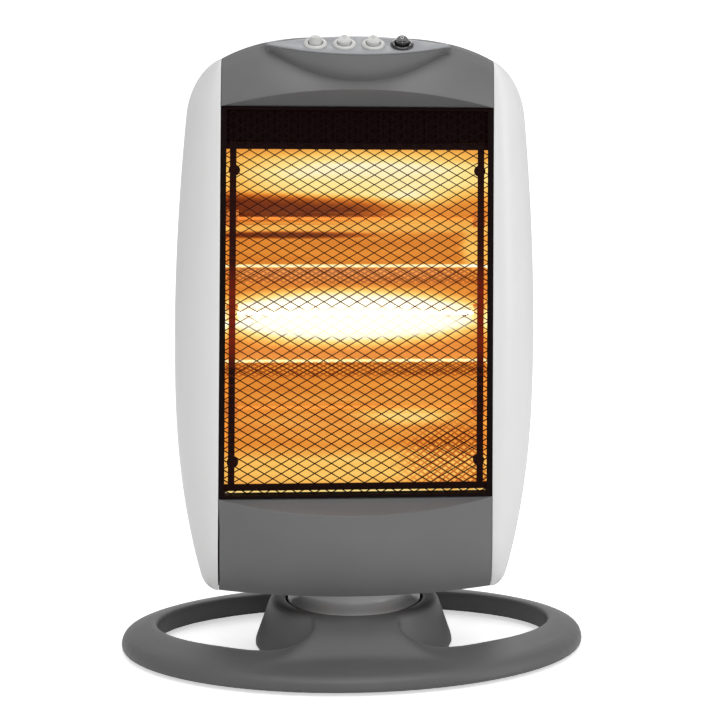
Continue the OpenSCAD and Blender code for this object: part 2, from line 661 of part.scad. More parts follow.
module switch_body(i) {
    on_plate() translate([switch_x(i), 0, 0]) difference() {
        union() {
            translate([0, 0, plate_t]) rotate_extrude($fn = 64) polygon([
                [rocker_r + rocker_gap, 0], [bezel_r, 0], [bezel_r, 0.7], [bezel_r - 0.8, 1.5], [bezel_r - 2, 1.9],
                [rocker_r + rocker_gap, 1.5]]);
            translate([0, 0, -switch_depth])
                cylinder(r = bezel_r - 1.1, h = switch_depth + plate_t + 0.1, $fn = 48);
        }
        translate([0, 0, -4.5]) cylinder(r = rocker_r + rocker_gap, h = 12, $fn = 48);
        translate([-rocker_r - 1.2, 0, rocker_pin_z]) rotate([0, 90, 0])
            cylinder(r = 0.86, h = 2 * rocker_r + 2.4, $fn = 32);
    }
    on_plate() for (y = [-3, 3])
        translate([switch_x(i) - 2.2, y - 0.4, -switch_depth - 6]) cube([4.4, 0.8, 6]);
}

// Rocker: a tapered round button with a hollow of two slopes, on a cross pin. Its rear end is up
// (side = 1) or down.
rocker_pin_z = plate_t - 1;       // height of the cross pin over the control plate's underside
rocker_h = 5.4;                   // height of the hollow's middle above the pin
rocker_hollow = 20;               // slope of each half of the hollow in degrees
rocker_low = 2;                   // depth of the button below the pin
module rocker(i, side) {
    tall = rocker_h + rocker_r * tan(rocker_hollow);
    on_plate() translate([switch_x(i), 0, rocker_pin_z]) rotate([side * rocker_tilt, 0, 0]) {
        difference() {
            translate([0, 0, -rocker_low])
                cylinder(r1 = rocker_r - 0.3, r2 = rocker_r - 0.85, h = tall + rocker_low, $fn = 48);
            rotate([90, 0, 90]) linear_extrude(height = rocker_r * 3, center = true) polygon([
                [0, rocker_h], [rocker_r, tall], [rocker_r, tall + 2], [-rocker_r, tall + 2], [-rocker_r, tall]]);
        }
        translate([-rocker_r - 1, 0, 0]) rotate([0, 90, 0]) cylinder(r = 0.8, h = 2 * rocker_r + 2, $fn = 32);
    }
}

module swing_switch() { color("#d2d2d2") switch_body(0); }
module low_switch() { color("#d2d2d2") switch_body(1); }
module high_switch() { color("#d2d2d2") switch_body(2); }
module power_switch() { color("#1a1a1a") switch_body(3); }
module swing_rocker() { color("#f2f2f2") rocker(0, -1); }
module low_rocker() { color("#f2f2f2") rocker(1, 1); }
module high_rocker() { color("#f2f2f2") rocker(2, 1); }
module power_rocker() { color("#161616") rocker(3, 1); }

// Rear cover: a rim that meets the side shells and the hood, with a ledge that carries the back panel.
side_levels = concat([for (t = [0:30:90]) body_z + foot_round * (1 - cos(t))],
    [for (k = [0:7]) shell_foot + (corner_z - shell_foot) * k / 8],
    [for (t = [0:5]) corner_z + (shell_top - corner_z) * sin(t * 18)]);
right_edge = [for (z = side_levels) [max(half_w(z), seam_x + wall + shell_lip), z]];
crown_edge = [for (k = [4:-1:-4]) let (x = k * seam_x * 0.22) [x, crown(x) - 1]];
left_edge = [for (i = [len(right_edge) - 1:-1:0]) [-right_edge[i][0], right_edge[i][1]]];
outline = concat(right_edge, crown_edge, left_edge);
back_round = 25;
function rear_ring(d, y) = [for (q = outline) let (t = (q[1] - body_z) / (hood_z - body_z))
    [q[0] * (1 - d / body_half_w), y, q[1] + d * (0.3 - t)]];
function rear_bend(a, t) = rear_ring(rear_seam_in + (back_round - rear_seam_in) * (1 - cos(a)) + t,
    rear_seam_y + (body_rear - t - rear_seam_y) * sin(a));
rear_rings = concat([for (a = [90:-15:0]) rear_bend(a, 0)], [for (a = [0:18:90]) rear_bend(a, wall)]);
panel_t = 1.2;                    // sheet of the back panel
panel_in = back_round + 4;        // how far the panel's edge lies inside the body's outline
panel_play = 0.3;                 // play of the panel in its recess
ledge = 6;
rear_slot = [46, 4];
rear_slot_pitch = 9;
rear_slot_rows = 7;
rear_slot_low = [body_z + 52, hood_z - 156];
grip_open = [92, 28];
grip_z = hood_z - 67.5;
grip_depth = 21.3;
gland_z = body_z + 25;
gland_x = 72;
gland_block = [26, 13];           // width of the cord gland's plate and its height above the bore
rear_screw_l = 11;
rear_screw_pairs = [[94, body_z + 37], [108, widest_z - 12], [84, hood_z - 46]];
rear_screw_places = [for (q = rear_screw_pairs, s = [-1, 1]) [s * q[0], q[1]]];
module rear_outline(d) { polygon([for (q = rear_ring(d, 0)) [q[0], q[2]]]); }
// Flat sheet in the body's rear plane, out of a drawing in x and z, from y = from forwards by t.
module rear_sheet(from, t) {
    translate([0, from, 0]) rotate([90, 0, 0]) linear_extrude(height = t) children();
}

// Corner of the panel that the cord gland's own plate takes, less the play at its edges.
module gland_corner(play) {
    translate([gland_x - gland_block[0] / 2 + play, body_z])
        square([gland_block[0] - 2 * play, gland_z + gland_block[1] - play - body_z]);
}

module rear_cover() {
    ledge_y = body_rear - panel_t;
    color(base_grey) difference() {
        union() {
            skin(rear_rings);
            for (q = rear_screw_places)
                translate([q[0], ledge_y - rear_screw_l - 1, q[1]]) rod_y(4.6, rear_screw_l + 1);
        }
        rear_sheet(body_rear + 1, panel_t + 1) rear_outline(panel_in - panel_play);
        rear_sheet(body_rear + 1, wall + 3) difference() {
            rear_outline(panel_in + ledge);
            for (q = rear_screw_places) translate(q) circle(r = ledge, $fn = 32);
        }
        translate([0, 0, body_z - 2]) cylinder(r = neck_r + 1.5, h = 9, $fn = 96);
        for (q = rear_screw_places)
            translate([q[0], ledge_y - rear_screw_l - 0.5, q[1]]) rod_y(1.7, rear_screw_l + 4);
    }
}

module back_panel() {
    color(panel_grey) rear_sheet(body_rear, panel_t) difference() {
        rear_outline(panel_in);
        for (x = [-54, 0, 54], k = [0:rear_slot_rows - 1], z = rear_slot_low)
            translate([x - rear_slot[0] / 2, z + k * rear_slot_pitch]) square(rear_slot);
        translate([-grip_open[0] / 2, grip_z - grip_open[1] / 2]) square(grip_open);
        gland_corner(0);
        for (q = rear_screw_places) translate(q) circle(r = 1.7, $fn = 24);
    }
}

module rear_cover_screws() {
    color(zinc) for (q = rear_screw_places) translate([q[0], body_rear, q[1]]) rotate([-90, 0, 0])
        screw(head_r = 3, shank_r = 1.6, shank_l = rear_screw_l);
}

module handle_cup() {
    t = 2;
    back = body_rear - panel_t;
    color(base_grey) difference() {
        union() {
            translate([-grip_open[0] / 2 - t, back - grip_depth, grip_z - grip_open[1] / 2 - t])
                cube([grip_open[0] + 2 * t, grip_depth, grip_open[1] + 2 * t]);
            translate([-grip_open[0] / 2 + 0.2, back - 1, grip_z - grip_open[1] / 2 + 0.2])
                cube([grip_open[0] - 0.4, panel_t + 0.8, grip_open[1] - 0.4]);
        }
        translate([-grip_open[0] / 2 + t, back - grip_depth + t, grip_z - grip_open[1] / 2 + t])
            cube([grip_open[0] - 2 * t, grip_depth + 8, grip_open[1] - 2 * t]);
    }
}

module cable_gland() {
    back = body_rear - panel_t;
    color("#1d1d1d") difference() {
        union() {
            rear_sheet(body_rear, panel_t) intersection() {
                rear_outline(panel_in);
                gland_corner(panel_play);
            }
            translate([gland_x, back - 7.3, gland_z]) rod_y(6, panel_t + 7.5);
            translate([gland_x, body_rear - 0.2, gland_z]) rod_y(8, 2.8);
            translate([gland_x, back - 3, gland_z]) rod_y(8, 3.2);
        }
        translate([gland_x, body_rear - 20, gland_z]) rod_y(3.6, 40);
    }
}

// ---------- window, guard and reflector ----------
surround_x = seam_x - 0.4;
surround_y = -body_front + 0.7;
rail = 2.3;
mesh_y = -body_front + 3.2;       // front of the wire guard
mesh_t = mesh_wire;
mesh_x = surround_x - rail;
bars_y = mesh_y + mesh_t;
bar_t = 2.6;
bar_x = surround_x - 9;
bar_low = window_low + 10.8;
bar_high = window_high - 30.7;
clip_x = bar_x - 1;
chassis_front = bars_y + bar_t;
chassis_rear = 22;
chassis_low = floor_z;
chassis_high = window_high + 16;

module window_surround() {
    high = window_high - 0.3;
    low = window_low + 0.3;
    color(black_steel) difference() {
        translate([-surround_x, surround_y, low]) cube([surround_x * 2, chassis_front - surround_y, high - low]);
        translate([-mesh_x, surround_y - 1, low + rail]) cube([mesh_x * 2, 40, high - low - 2 * rail]);
    }
}

// Expanded mesh: two sets of slanting strands in one plane, as one plate with diamond openings.
cad_mesh_w = 2 * mesh_w;
cad_mesh_h = 2.3 * mesh_h;
module guard_mesh() {
    low = window_low + 0.3 + rail;
    high = window_high - 0.3 - rail;
    cols = 2 * floor(mesh_x / cad_mesh_w * 2);
    rows = 2 * floor((high - low) / cad_mesh_h);
    fx = (cad_mesh_w - 2 * mesh_wire) / 2;
    fz = (cad_mesh_h - mesh_wire * 1.3) / 2;
    color(black_steel) translate([0, mesh_y + mesh_t, 0]) rotate([90, 0, 0])
        linear_extrude(height = mesh_t) difference() {
            translate([-mesh_x, low]) square([2 * mesh_x, high - low]);
            for (r = [0:rows], c = [0:cols]) if ((r + c) % 2 == 0)
                translate([(c - cols / 2) * cad_mesh_w / 2, (low + high) / 2 + (r - rows / 2) * cad_mesh_h / 2])
                    polygon([[-fx, 0], [0, -fz], [fx, 0], [0, fz]]);
        }
}

clip_z = [bar_low + 17, bar_high - 19];
module guard_bars() {
    color(black_steel) translate([0, bars_y, 0]) difference() {
        union() {
            for (s = [-1, 1]) translate([s * bar_x - bar_w / 2, 0, bar_low - bar_w / 2])
                cube([bar_w, bar_t, bar_high - bar_low + bar_w]);
            for (z = [bar_low, bar_high]) translate([-mesh_x, 0, z - bar_w / 2]) cube([mesh_x * 2, bar_t, bar_w]);
            for (s = [-1, 1], z = clip_z) translate([s * clip_x, 0, z]) rod_y(4.4, bar_t);
        }
        for (s = [-1, 1], z = clip_z) translate([s * clip_x, -1, z]) rod_y(1.6, bar_t + 2);
    }
}

module guard_screws() {
    color(zinc) for (s = [-1, 1], z = clip_z) translate([s * clip_x, bars_y + bar_t, z]) rotate([-90, 0, 0])
        screw(head_r = 2.4, shank_r = 1.5, shank_l = bar_t);
}

baffle_y = chassis_front + 0.3;
rib_pitch = 9;
module upper_baffle() {
    half = mesh_x + 0.4;
    n = 2 * floor(half / rib_pitch);
    front = [for (i = [0:n]) let (x = (i - n / 2) * rib_pitch)
        each [[x - 2.4, 1.6], [x - 1.2, 0], [x + 1.2, 0], [x + 2.4, 1.6]]];
    low = bar_high + bar_w / 2 + 0.4;
    color(black_steel) {
        translate([0, baffle_y, low]) linear_extrude(height = window_high - low + 6)
            polygon(concat([[-half, 2.6], [-half, 1.6]], [for (q = front) if (abs(q[0]) < half) q],
                [[half, 1.6], [half, 2.6]]));
        translate([-half, baffle_y + 2, low]) cube([half * 2, 14, 1]);
    }
}

reflector_x = mesh_x - 0.6;
trough_deep = 8;                  // rearmost depth of the troughs
ridge_y = -22;
lip_low = bar_low - 4.5;          // lower edge of the reflector, below the lower guard bar
sheet_t = 0.9;
flare_y = chassis_front + 0.6;
lamp_places = [for (k = [1, 0, -1]) lamp_z + k * lamp_pitch];
// One curved stretch of the reflector behind each lamp, from its upper ridge to its lower one.
function trough(zc) = [for (i = [-6:6]) let (u = i / 6)
    [trough_deep - (trough_deep - ridge_y) * pow(abs(u), 2), zc - u * lamp_pitch / 2]];
function reflector_line() = concat(
    [[flare_y, bar_high]], [for (z = lamp_places) each trough(z)], [[flare_y, lip_low]]);
function tidy_line(p) = [for (i = [0:len(p) - 1]) if (i == 0 || norm(p[i] - p[max(i - 1, 0)]) > 0.01) p[i]];

module reflector() {
    line = tidy_line(reflector_line());
    back = inset(line, -sheet_t);
    color(bright_steel) rotate([90, 0, 90]) linear_extrude(height = 2 * reflector_x, center = true)
        polygon(concat(line, [for (i = [len(back) - 1:-1:0]) back[i]]));
}

end_t = 0.8;
module end_reflector() {
    color(bright_steel) difference() {
        translate([reflector_x, flare_y, lip_low])
            cube([end_t, trough_deep + 4 - flare_y, bar_high - lip_low + 2]);
        for (z = lamp_places) translate([reflector_x, -lamp_front, z]) rod_x(cap_r + 0.4, 8);
    }
}
module right_end_reflector() { end_reflector(); }
module left_end_reflector() { mirror([1, 0, 0]) end_reflector(); }

module chassis_side() {
    color(black_steel) difference() {
        union() {
            translate([chassis_x - chassis_t, 0, 0]) rotate([90, 0, 90]) linear_extrude(height = chassis_t) polygon([
                [chassis_front + curl_depth, chassis_low], [chassis_front, curl_z], [chassis_front, chassis_high],
                [chassis_rear, chassis_high], [chassis_rear, chassis_low]]);
            translate([mesh_x + 0.6, chassis_front, window_low])
                cube([chassis_x - mesh_x - 0.6, 1.2, window_high - window_low]);
        }
        for (z = lamp_places) translate([chassis_x, -lamp_front, z]) rod_x(cap_r + 2.4, 8);
        for (z = [body_z + 38, body_z + 54, chassis_high - 15])
            translate([chassis_x - 3, -12, z]) cube([6, 24, 5]);
    }
}
module right_chassis() { chassis_side(); }
module left_chassis() { mirror([1, 0, 0]) chassis_side(); }

shield_y = 17;
shield_low = body_z + 35;
shield_high = hood_z - 42;
module heat_shield() {
    half = chassis_x - chassis_t;
    color(bright_steel) difference() {
        translate([-half, shield_y, shield_low]) cube([half * 2, 1, shield_high - shield_low]);
        for (x = [-60, 0, 60], z = [shield_low + 12, shield_high - 17])
            translate([x - 20, shield_y - 2, z]) cube([40, 5, 5]);
    }
}

module thermal_cutout() {
    color("#b9b3a4") translate([40, shield_y - 6, window_high - 16]) {
        rod_y(7, 6);
        translate([-12, 5, -4]) cube([24, 1, 8]);
        for (x = [-4, 4]) translate([x - 0.4, -6, -2]) cube([0.8, 6.5, 4]);
    }
}

module terminal_block() {
    color("#e8e2d0") translate([58, -14, floor_z + floor_t]) difference() {
        cube([26, 16, 12]);
        for (k = [0:2]) {
            translate([5 + k * 8, 8, 5]) cylinder(r = 2, h = 10, $fn = 24);
            translate([5 + k * 8, -1, 5]) rod_y(1.8, 20);
        }
    }
}

tube_half = 97.5;
cap_in = tube_half - 3.5;
cap_out = chassis_x + 3;
bracket_x = reflector_x + 3;
module lamp_bracket() {
    color(zinc) difference() {
        union() {
            translate([bracket_x, -lamp_front - 10, lamp_z - lamp_pitch - 16])
                cube([1, 20, 2 * lamp_pitch + 32]);
            for (z = [lamp_z - lamp_pitch - 16, lamp_z + lamp_pitch + 15])
                translate([bracket_x, -lamp_front - 10, z]) cube([chassis_x - chassis_t - bracket_x, 20, 1]);
        }
        for (z = lamp_places) translate([bracket_x, -lamp_front, z]) rod_x(cap_r + 0.05, 8);
    }
}
module right_lamp_bracket() { lamp_bracket(); }
module left_lamp_bracket() { mirror([1, 0, 0]) lamp_bracket(); }

module lamp_tube(k) {
    color("#e9e4da") translate([0, -lamp_front, lamp_places[k]]) difference() {
        rod_x(tube_r, 2 * tube_half);
        rod_x(tube_r - 1, 2 * tube_half + 2);
    }
}
module top_tube() { lamp_tube(0); }
module middle_tube() { lamp_tube(1); }
module bottom_tube() { lamp_tube(2); }

filament_r = 1.5;
module filament(k) {
    color("#7a6f66") translate([0, -lamp_front, lamp_places[k]]) rod_x(filament_r, 2 * tube_half - 0.4);
}
module top_filament() { filament(0); }
module middle_filament() { filament(1); }
module bottom_filament() { filament(2); }

module end_caps() {
    color(ceramic) for (z = lamp_places, turn = [0, 180]) translate([0, -lamp_front, z]) rotate([0, 0, turn])
        difference() {
            translate([(cap_in + cap_out) / 2, 0, 0]) rod_x(cap_r, cap_out - cap_in);
            translate([tube_half, 0, 0]) rod_x(tube_r + 0.1, 2 * (tube_half - cap_in) + 0.2);
        }
}

module lamp_terminals() {
    color("#b08d4a") for (z = lamp_places, turn = [0, 180]) translate([0, -lamp_front, z])
        rotate([0, 0, turn]) translate([cap_out, -3.2, -0.4]) cube([8, 6.4, 0.8]);
}

base_moulding();
base_cover();
base_cover_screws();
rubber_feet();
swivel_post();
post_screws();
yoke_arm();
yoke_screw();
tip_switch();
tip_plunger();
glide_washer();
turntable();
retaining_ring();
retaining_screws();
turntable_screws();
body_floor();
motor();
motor_screws();
crank();
lower_panel();
hood();
control_plate();
left_shell();
right_shell();
rear_cover();
back_panel();
rear_cover_screws();
handle_cup();
cable_gland();
window_surround();
guard_mesh();
guard_bars();
guard_screws();
upper_baffle();
reflector();
left_end_reflector();
right_end_reflector();
left_chassis();
right_chassis();
heat_shield();
thermal_cutout();
terminal_block();
left_lamp_bracket();
right_lamp_bracket();
top_tube();
middle_tube();
bottom_tube();
top_filament();
middle_filament();
bottom_filament();
end_caps();
lamp_terminals();
swing_switch();
low_switch();
high_switch();
power_switch();
swing_rocker();
low_rocker();
high_rocker();
power_rocker();
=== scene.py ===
import json
import math

import bmesh
import bpy
from mathutils import Matrix, Vector


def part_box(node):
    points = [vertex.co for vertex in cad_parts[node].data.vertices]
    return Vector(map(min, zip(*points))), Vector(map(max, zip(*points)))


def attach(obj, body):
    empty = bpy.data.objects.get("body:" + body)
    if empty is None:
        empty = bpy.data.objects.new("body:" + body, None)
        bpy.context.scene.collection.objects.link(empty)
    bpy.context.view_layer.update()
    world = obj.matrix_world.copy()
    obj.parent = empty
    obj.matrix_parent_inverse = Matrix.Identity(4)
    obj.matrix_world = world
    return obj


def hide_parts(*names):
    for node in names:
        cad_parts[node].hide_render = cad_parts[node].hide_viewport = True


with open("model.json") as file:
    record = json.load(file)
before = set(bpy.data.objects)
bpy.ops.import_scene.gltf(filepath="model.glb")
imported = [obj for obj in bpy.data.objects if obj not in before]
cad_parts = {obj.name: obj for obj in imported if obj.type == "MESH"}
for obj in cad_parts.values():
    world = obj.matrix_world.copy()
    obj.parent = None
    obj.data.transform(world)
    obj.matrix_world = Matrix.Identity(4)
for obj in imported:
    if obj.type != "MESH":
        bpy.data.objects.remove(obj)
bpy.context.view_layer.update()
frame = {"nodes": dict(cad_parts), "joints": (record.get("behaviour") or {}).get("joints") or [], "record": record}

bl_info = {
    "name": "Halogen heater finish",
    "version": (1, 0, 0),
    "blender": (4, 5, 0),
    "location": "3D View > Sidebar > Heater",
    "description": "Covers, wire guard, lamps, switches and finishes of an oscillating halogen heater",
    "category": "Add Mesh",
}

MM = 0.001


def srgb(value):
    """A colour channel of 0 to 255, as seen on a screen, as linear light."""
    c = value / 255
    return c / 12.92 if c <= 0.04045 else ((c + 0.055) / 1.055) ** 2.4


def tone(red, green, blue):
    return (srgb(red), srgb(green), srgb(blue))


# ---------------------------------------------------------------- sizes and colours


def length_property(name, description, millimetres):
    return bpy.props.FloatProperty(name=name, description=description, default=millimetres * MM, unit="LENGTH")


def colour_property(name, description, *channels):
    return bpy.props.FloatVectorProperty(name=name, description=description, default=tone(*channels), subtype="COLOR")


class HeaterSizes(bpy.types.PropertyGroup):
    """Sizes that only the looks need. Everything that carries load comes from the frame."""

    diamond_width: length_property("Diamond width", "Width of one opening of the wire guard", 12.9)
    diamond_height: length_property("Diamond height", "Height of one opening of the wire guard", 7.75)
    strand: length_property("Strand", "Width of one strand of the wire guard", 0.86)
    coil_pitch: length_property("Coil pitch", "Distance between two turns of a filament", 1.6)
    coil_wire: length_property("Coil wire", "Radius of a filament's wire", 0.28)
    edge_softness: length_property("Edge softness", "Radius of the covers' moulded edges", 0.7)
    remesh: length_property("Base grain", "Grid that the base's moulding is blended on", 1.5)


class HeaterColours(bpy.types.PropertyGroup):
    """Colours of the heater's finishes."""

    base: colour_property("Base", "Dark grey moulding of the base", 92, 92, 93)
    panel: colour_property("Panels", "Grey paint of the hood and the lower panel", 109, 109, 110)
    shell: colour_property("Shells", "White side shells", 232, 232, 232)
    plate: colour_property("Control plate", "Silver paint of the control plate", 158, 159, 162)
    black: colour_property("Guard", "Heat-proof black of the guard and frame", 4, 2, 2)
    mark: colour_property("Marks", "Print of the marks on the light rockers", 150, 150, 150)


def sizes():
    return bpy.context.scene.heater_sizes


def colours():
    return bpy.context.scene.heater_colours


# ---------------------------------------------------------------- node helpers

NODE_STEP = 200


def give(tree, socket, value):
    """Sets an input socket, or joins it to another node's result, which is its first where the node is given."""
    if isinstance(value, bpy.types.Node):
        value = value.outputs[0]
    if isinstance(value, bpy.types.NodeSocket):
        tree.links.new(value, socket)
    else:
        socket.default_value = value


def feed(tree, node, **values):
    """Sets a node's properties, and sets or joins its input sockets, by name."""
    for key, value in values.items():
        if hasattr(node, key):
            setattr(node, key, value)
        else:
            give(tree, node.inputs[key.replace("_", " ")], value)


def add(tree, kind, *inputs, **values):
    """A node of a tree, with its first inputs given in their order, and properties and other inputs by name."""
    node = tree.nodes.new(kind)
    node.location = (NODE_STEP * len(tree.nodes), 0)
    feed(tree, node, **values)
    for socket, value in zip(node.inputs, inputs):
        give(tree, socket, value)
    return node


def maths(tree, operation, *values):
    return add(tree, "ShaderNodeMath", *values, operation=operation)


def split(tree, where):
    """The results X, Y and Z of a vector."""
    return add(tree, "ShaderNodeSeparateXYZ", where).outputs


def new_material(name):
    material = bpy.data.materials.new(name)
    material.use_nodes = True
    tree = material.node_tree
    return material, tree, tree.nodes["Principled BSDF"]


def place_of(tree, scale=(1, 1, 1), shift=(0, 0, 0)):
    """Object coordinates, scaled along each axis and shifted."""
    coords = add(tree, "ShaderNodeTexCoord").outputs["Object"]
    return add(tree, "ShaderNodeMapping", coords, Scale=scale, Location=shift)


def noise(tree, where, scale, detail=3.0, roughness=0.5):
    return add(tree, "ShaderNodeTexNoise", where, Scale=scale, Detail=detail, Roughness=roughness)


def ramp(tree, fac, *stops):
    """A value turned into colours, by stops of a position and a linear colour."""
    node = add(tree, "ShaderNodeValToRGB", fac)
    elements = node.color_ramp.elements
    while len(elements) < len(stops):
        elements.new(0.5)
    for element, (position, colour) in zip(elements, stops):
        element.position = position
        element.color = (*colour, 1)
    return node


def spread(tree, fac, low, high, **values):
    """A value of 0 to 1, or of another given range, spread over a range."""
    return add(tree, "ShaderNodeMapRange", fac, To_Min=low, To_Max=high, **values)


def shaded(colour, factor):
    return tuple(c * factor for c in colour)


def clamped(value):
    return min(1.0, max(0.0, value))


def smooth_step(share):
    return share * share * (3 - 2 * share)


# ---------------------------------------------------------------- finishes


def finish(name, colour, cloud, tones, rough, grain=None, streak=(1, 1, 1), ends=(0.3, 0.7), coarse=0.5, **values):
    """A material with its tree and shader. Between two tones, the colour follows a noise of a scale and a detail. The
    roughness is a number, or a noise's scale and detail with the lowest and the highest roughness. The grain is a
    noise's scale and detail with the strength and the depth of its bump."""
    material, tree, shader = new_material(name)
    where = place_of(tree, streak)
    stops = [(end, shaded(colour, part)) for end, part in zip(ends, tones)]
    base = ramp(tree, noise(tree, where, *cloud, coarse), *stops)
    if isinstance(rough, tuple):
        rough = spread(tree, noise(tree, where, *rough[:2], coarse), *rough[2:])
    feed(tree, shader, Base_Color=base, Roughness=rough, **values)
    if grain:
        scale, detail, strength, depth = grain
        feed(tree, shader, Normal=add(tree, "ShaderNodeBump", Height=noise(tree, where, scale, detail, coarse),
                                      Strength=strength, Distance=depth))
    return material, tree, shader


def moulded_plastic(name, colour, rough=0.42, grain=0.05, variation=0.05, coat=0.0):
    """Injection-moulded plastic: a fine spark-eroded grain and a faint unevenness of tone."""
    return finish(name, colour, (14.0, 4.0), (1 - variation, 1 + variation), (60.0, 5.0, rough - 0.05, rough + 0.06),
                  (1500.0, 2.0, 0.35, grain * MM), Coat_Weight=coat, Coat_Roughness=0.2)[0]


def painted_steel(name, colour, rough=0.7, mottle=0.3, glow=(), flash=None):
    """Heat-proof paint on sheet steel, slightly mottled. A painted glow stands in for the lamps' light on it and
    follows its height in mm, and a painted flash is a brighter patch of it before the lit lamp."""
    material, tree, shader = finish(name, colour, (90.0, 6.0), (1 - mottle, 1 + mottle),
                                    (200.0, 3.0, rough - 0.1, rough + 0.1), (700.0, 2.0, 0.3, 0.05 * MM),
                                    Specular_IOR_Level=0.1)
    if glow:
        low, high = glow[0][0], glow[-1][0]
        level = spread(tree, split(tree, place_of(tree))["Z"], 0.0, 1.0, From_Min=low * MM, From_Max=high * MM)
        light = ramp(tree, level, *[((z - low) / (high - low), tone(*lit)) for z, *lit in glow])
        if flash:
            *place, pale = flash
            mixed = add(tree, "ShaderNodeMix", data_type="RGBA", Factor=patch(tree, *place))
            give(tree, mixed.inputs[6], light)
            give(tree, mixed.inputs[7], (*pale, 1))
            light = mixed.outputs[2]
        feed(tree, shader, Emission_Color=light, Emission_Strength=1.0)
    return material


# ---------------------------------------------------------------- painted glow of the reflector


def patch(tree, centre, half, soft):
    """1 inside an ellipse in x and z (millimetres), and 0 outside it, with a soft edge."""
    where = place_of(tree, (1 / (half[0] * MM), 0, 1 / (half[1] * MM)), (-centre[0] / half[0], 0, -centre[1] / half[1]))
    far = add(tree, "ShaderNodeVectorMath", where, operation="LENGTH")
    return spread(tree, far.outputs["Value"], 0.0, 1.0, From_Min=1 + soft, From_Max=1 - soft,
                  interpolation_type="SMOOTHSTEP")


def crosshatch(tree, width, height, line):
    """Painted reflection of the guard: crossed lines at the given pitch in millimetres, 1 on a line and 0 between."""
    place = split(tree, place_of(tree))
    across = maths(tree, "DIVIDE", place["X"], width * MM)
    up = maths(tree, "DIVIDE", place["Z"], height * MM)
    lines = []
    for operation in ("ADD", "SUBTRACT"):
        wave = maths(tree, "PINGPONG", maths(tree, operation, across, up), 0.5)
        lines.append(maths(tree, "LESS_THAN", wave, line))
    return maths(tree, "MAXIMUM", *lines)


# Centre x and z, half width and half height in mm, softness, and the amount of painted glow of the lamp on the
# reflector, below zero painted shade
GLOW_PATCHES = (
    ((0, 392), (300, 13), 0.6, 0.1),
    ((10, 374), (108, 18), 0.5, 0.36),
    ((44, 353), (28, 10), 0.7, 0.16),
    ((0, 404), (300, 5), 0.4, -0.6),
    ((20, 175), (120, 40), 0.5, 0.06),
    ((-110, 350), (150, 11), 0.4, -0.32),
    ((0, 336), (300, 6), 0.5, 0.14),
    ((-60, 328.5), (62, 2.6), 0.5, -0.34),
    ((0, 305), (300, 1.2), 0.5, 0.45),
    ((-6, 262.5), (107, 20), 0.4, 0.6),
    ((-6, 262.5), (90, 11), 0.55, 0.5),
    ((0, 229.5), (300, 1.2), 0.5, 0.45),
    ((41, 181), (34, 6), 0.7, 0.2),
    ((0, 146), (300, 10), 0.6, 0.16),
    ((0, 131.2), (300, 2), 0.5, 0.3),
    ((95, 316), (9, 14), 0.6, 0.2),
)
# Patches where the painted reflection of the guard darkens the painted glow, in the same columns
GUARD_IMAGE_PATCHES = (
    ((0, 297), (300, 7), 0.4, -0.2),
    ((0, 222), (300, 7), 0.4, -0.26),
    ((78, 150), (36, 22), 0.6, -0.26),
)
# Level of the painted glow and its colour in sRGB
GLOW_TONES = ((0.0, 30, 6, 2), (0.2, 110, 40, 12), (0.4, 190, 95, 30), (0.55, 232, 145, 55), (0.7, 250, 195, 95),
              (0.85, 255, 232, 150), (1.0, 255, 252, 226))


def lamp_side(tree):
    """1 on the faces that look to the lamps, where the painted glow shows, and 0 on the back of the sheet."""
    # How much an end reflector's inward look counts against a forward one, and where the back begins
    inward_weight, back = 20.0, 0.1
    normal = split(tree, add(tree, "ShaderNodeNewGeometry").outputs["Normal"])
    place = split(tree, place_of(tree))
    inward = maths(tree, "MULTIPLY", maths(tree, "MULTIPLY", place["X"], normal["X"]), inward_weight)
    return maths(tree, "LESS_THAN", maths(tree, "ADD", inward, normal["Y"]), back)


def glowing_reflector(name):
    """Bright sheet with a painted glow of the lamp: one field of painted glow, made of soft patches, turned into its
    colours.
    """
    material, tree, shader = new_material(name)
    base_glow, unevenness, line = 0.5, 0.16, 0.16
    streaks = noise(tree, place_of(tree, (12, 40, 160)), 1.0, 5.0)
    glow_level = maths(tree, "MULTIPLY_ADD", streaks, unevenness, base_glow - unevenness / 2)
    for *place, amount in GLOW_PATCHES:
        glow_level = maths(tree, "MULTIPLY_ADD", patch(tree, *place), amount, glow_level)
    hatch = crosshatch(tree, sizes().diamond_width / MM / 2, sizes().diamond_height / MM / 2, line)
    for *place, amount in GUARD_IMAGE_PATCHES:
        glow_level = maths(tree, "MULTIPLY_ADD", maths(tree, "MULTIPLY", patch(tree, *place), hatch), amount, glow_level)
    strength = maths(tree, "MULTIPLY", maths(tree, "MAXIMUM", glow_level, 1.0), lamp_side(tree))
    light = ramp(tree, glow_level, *[(at, tone(*glow)) for at, *glow in GLOW_TONES])
    feed(tree, shader, Emission_Color=light, Emission_Strength=strength, Base_Color=(*tone(60, 48, 36), 1),
         Metallic=1.0, Roughness=0.35)
    return material


def plated_metal(name, colour, rough, streak, variation=0.12):
    """Bright or zinc-plated metal with fine rolling marks along one direction."""
    marks = (4.0, 6.0)
    return finish(name, colour, marks, (1 - variation, 1 + variation), (*marks, rough - 0.08, rough + 0.08),
                  (*marks, 0.15, 0.05 * MM), streak, (0.25, 0.75), 0.6, Metallic=1.0)[0]


def rubber(name, colour):
    return finish(name, colour, (120.0, 5.0), (0.8, 1.3), 0.85, (900.0, 3.0, 0.5, 0.1 * MM))[0]


def ceramic(name, colour, glow, lit):
    """Steatite with a faint painted glow of the lamps, brighter at the ends of the lit lamp."""
    material, tree, shader = finish(name, colour, (200.0, 5.0), (0.9, 1.0), 0.6, (600.0, 3.0, 0.3, 0.05 * MM))
    light = ramp(tree, patch(tree, *LIT_ENDS), (0.0, glow), (1.0, lit))
    feed(tree, shader, Emission_Color=light, Emission_Strength=1.0)
    return material


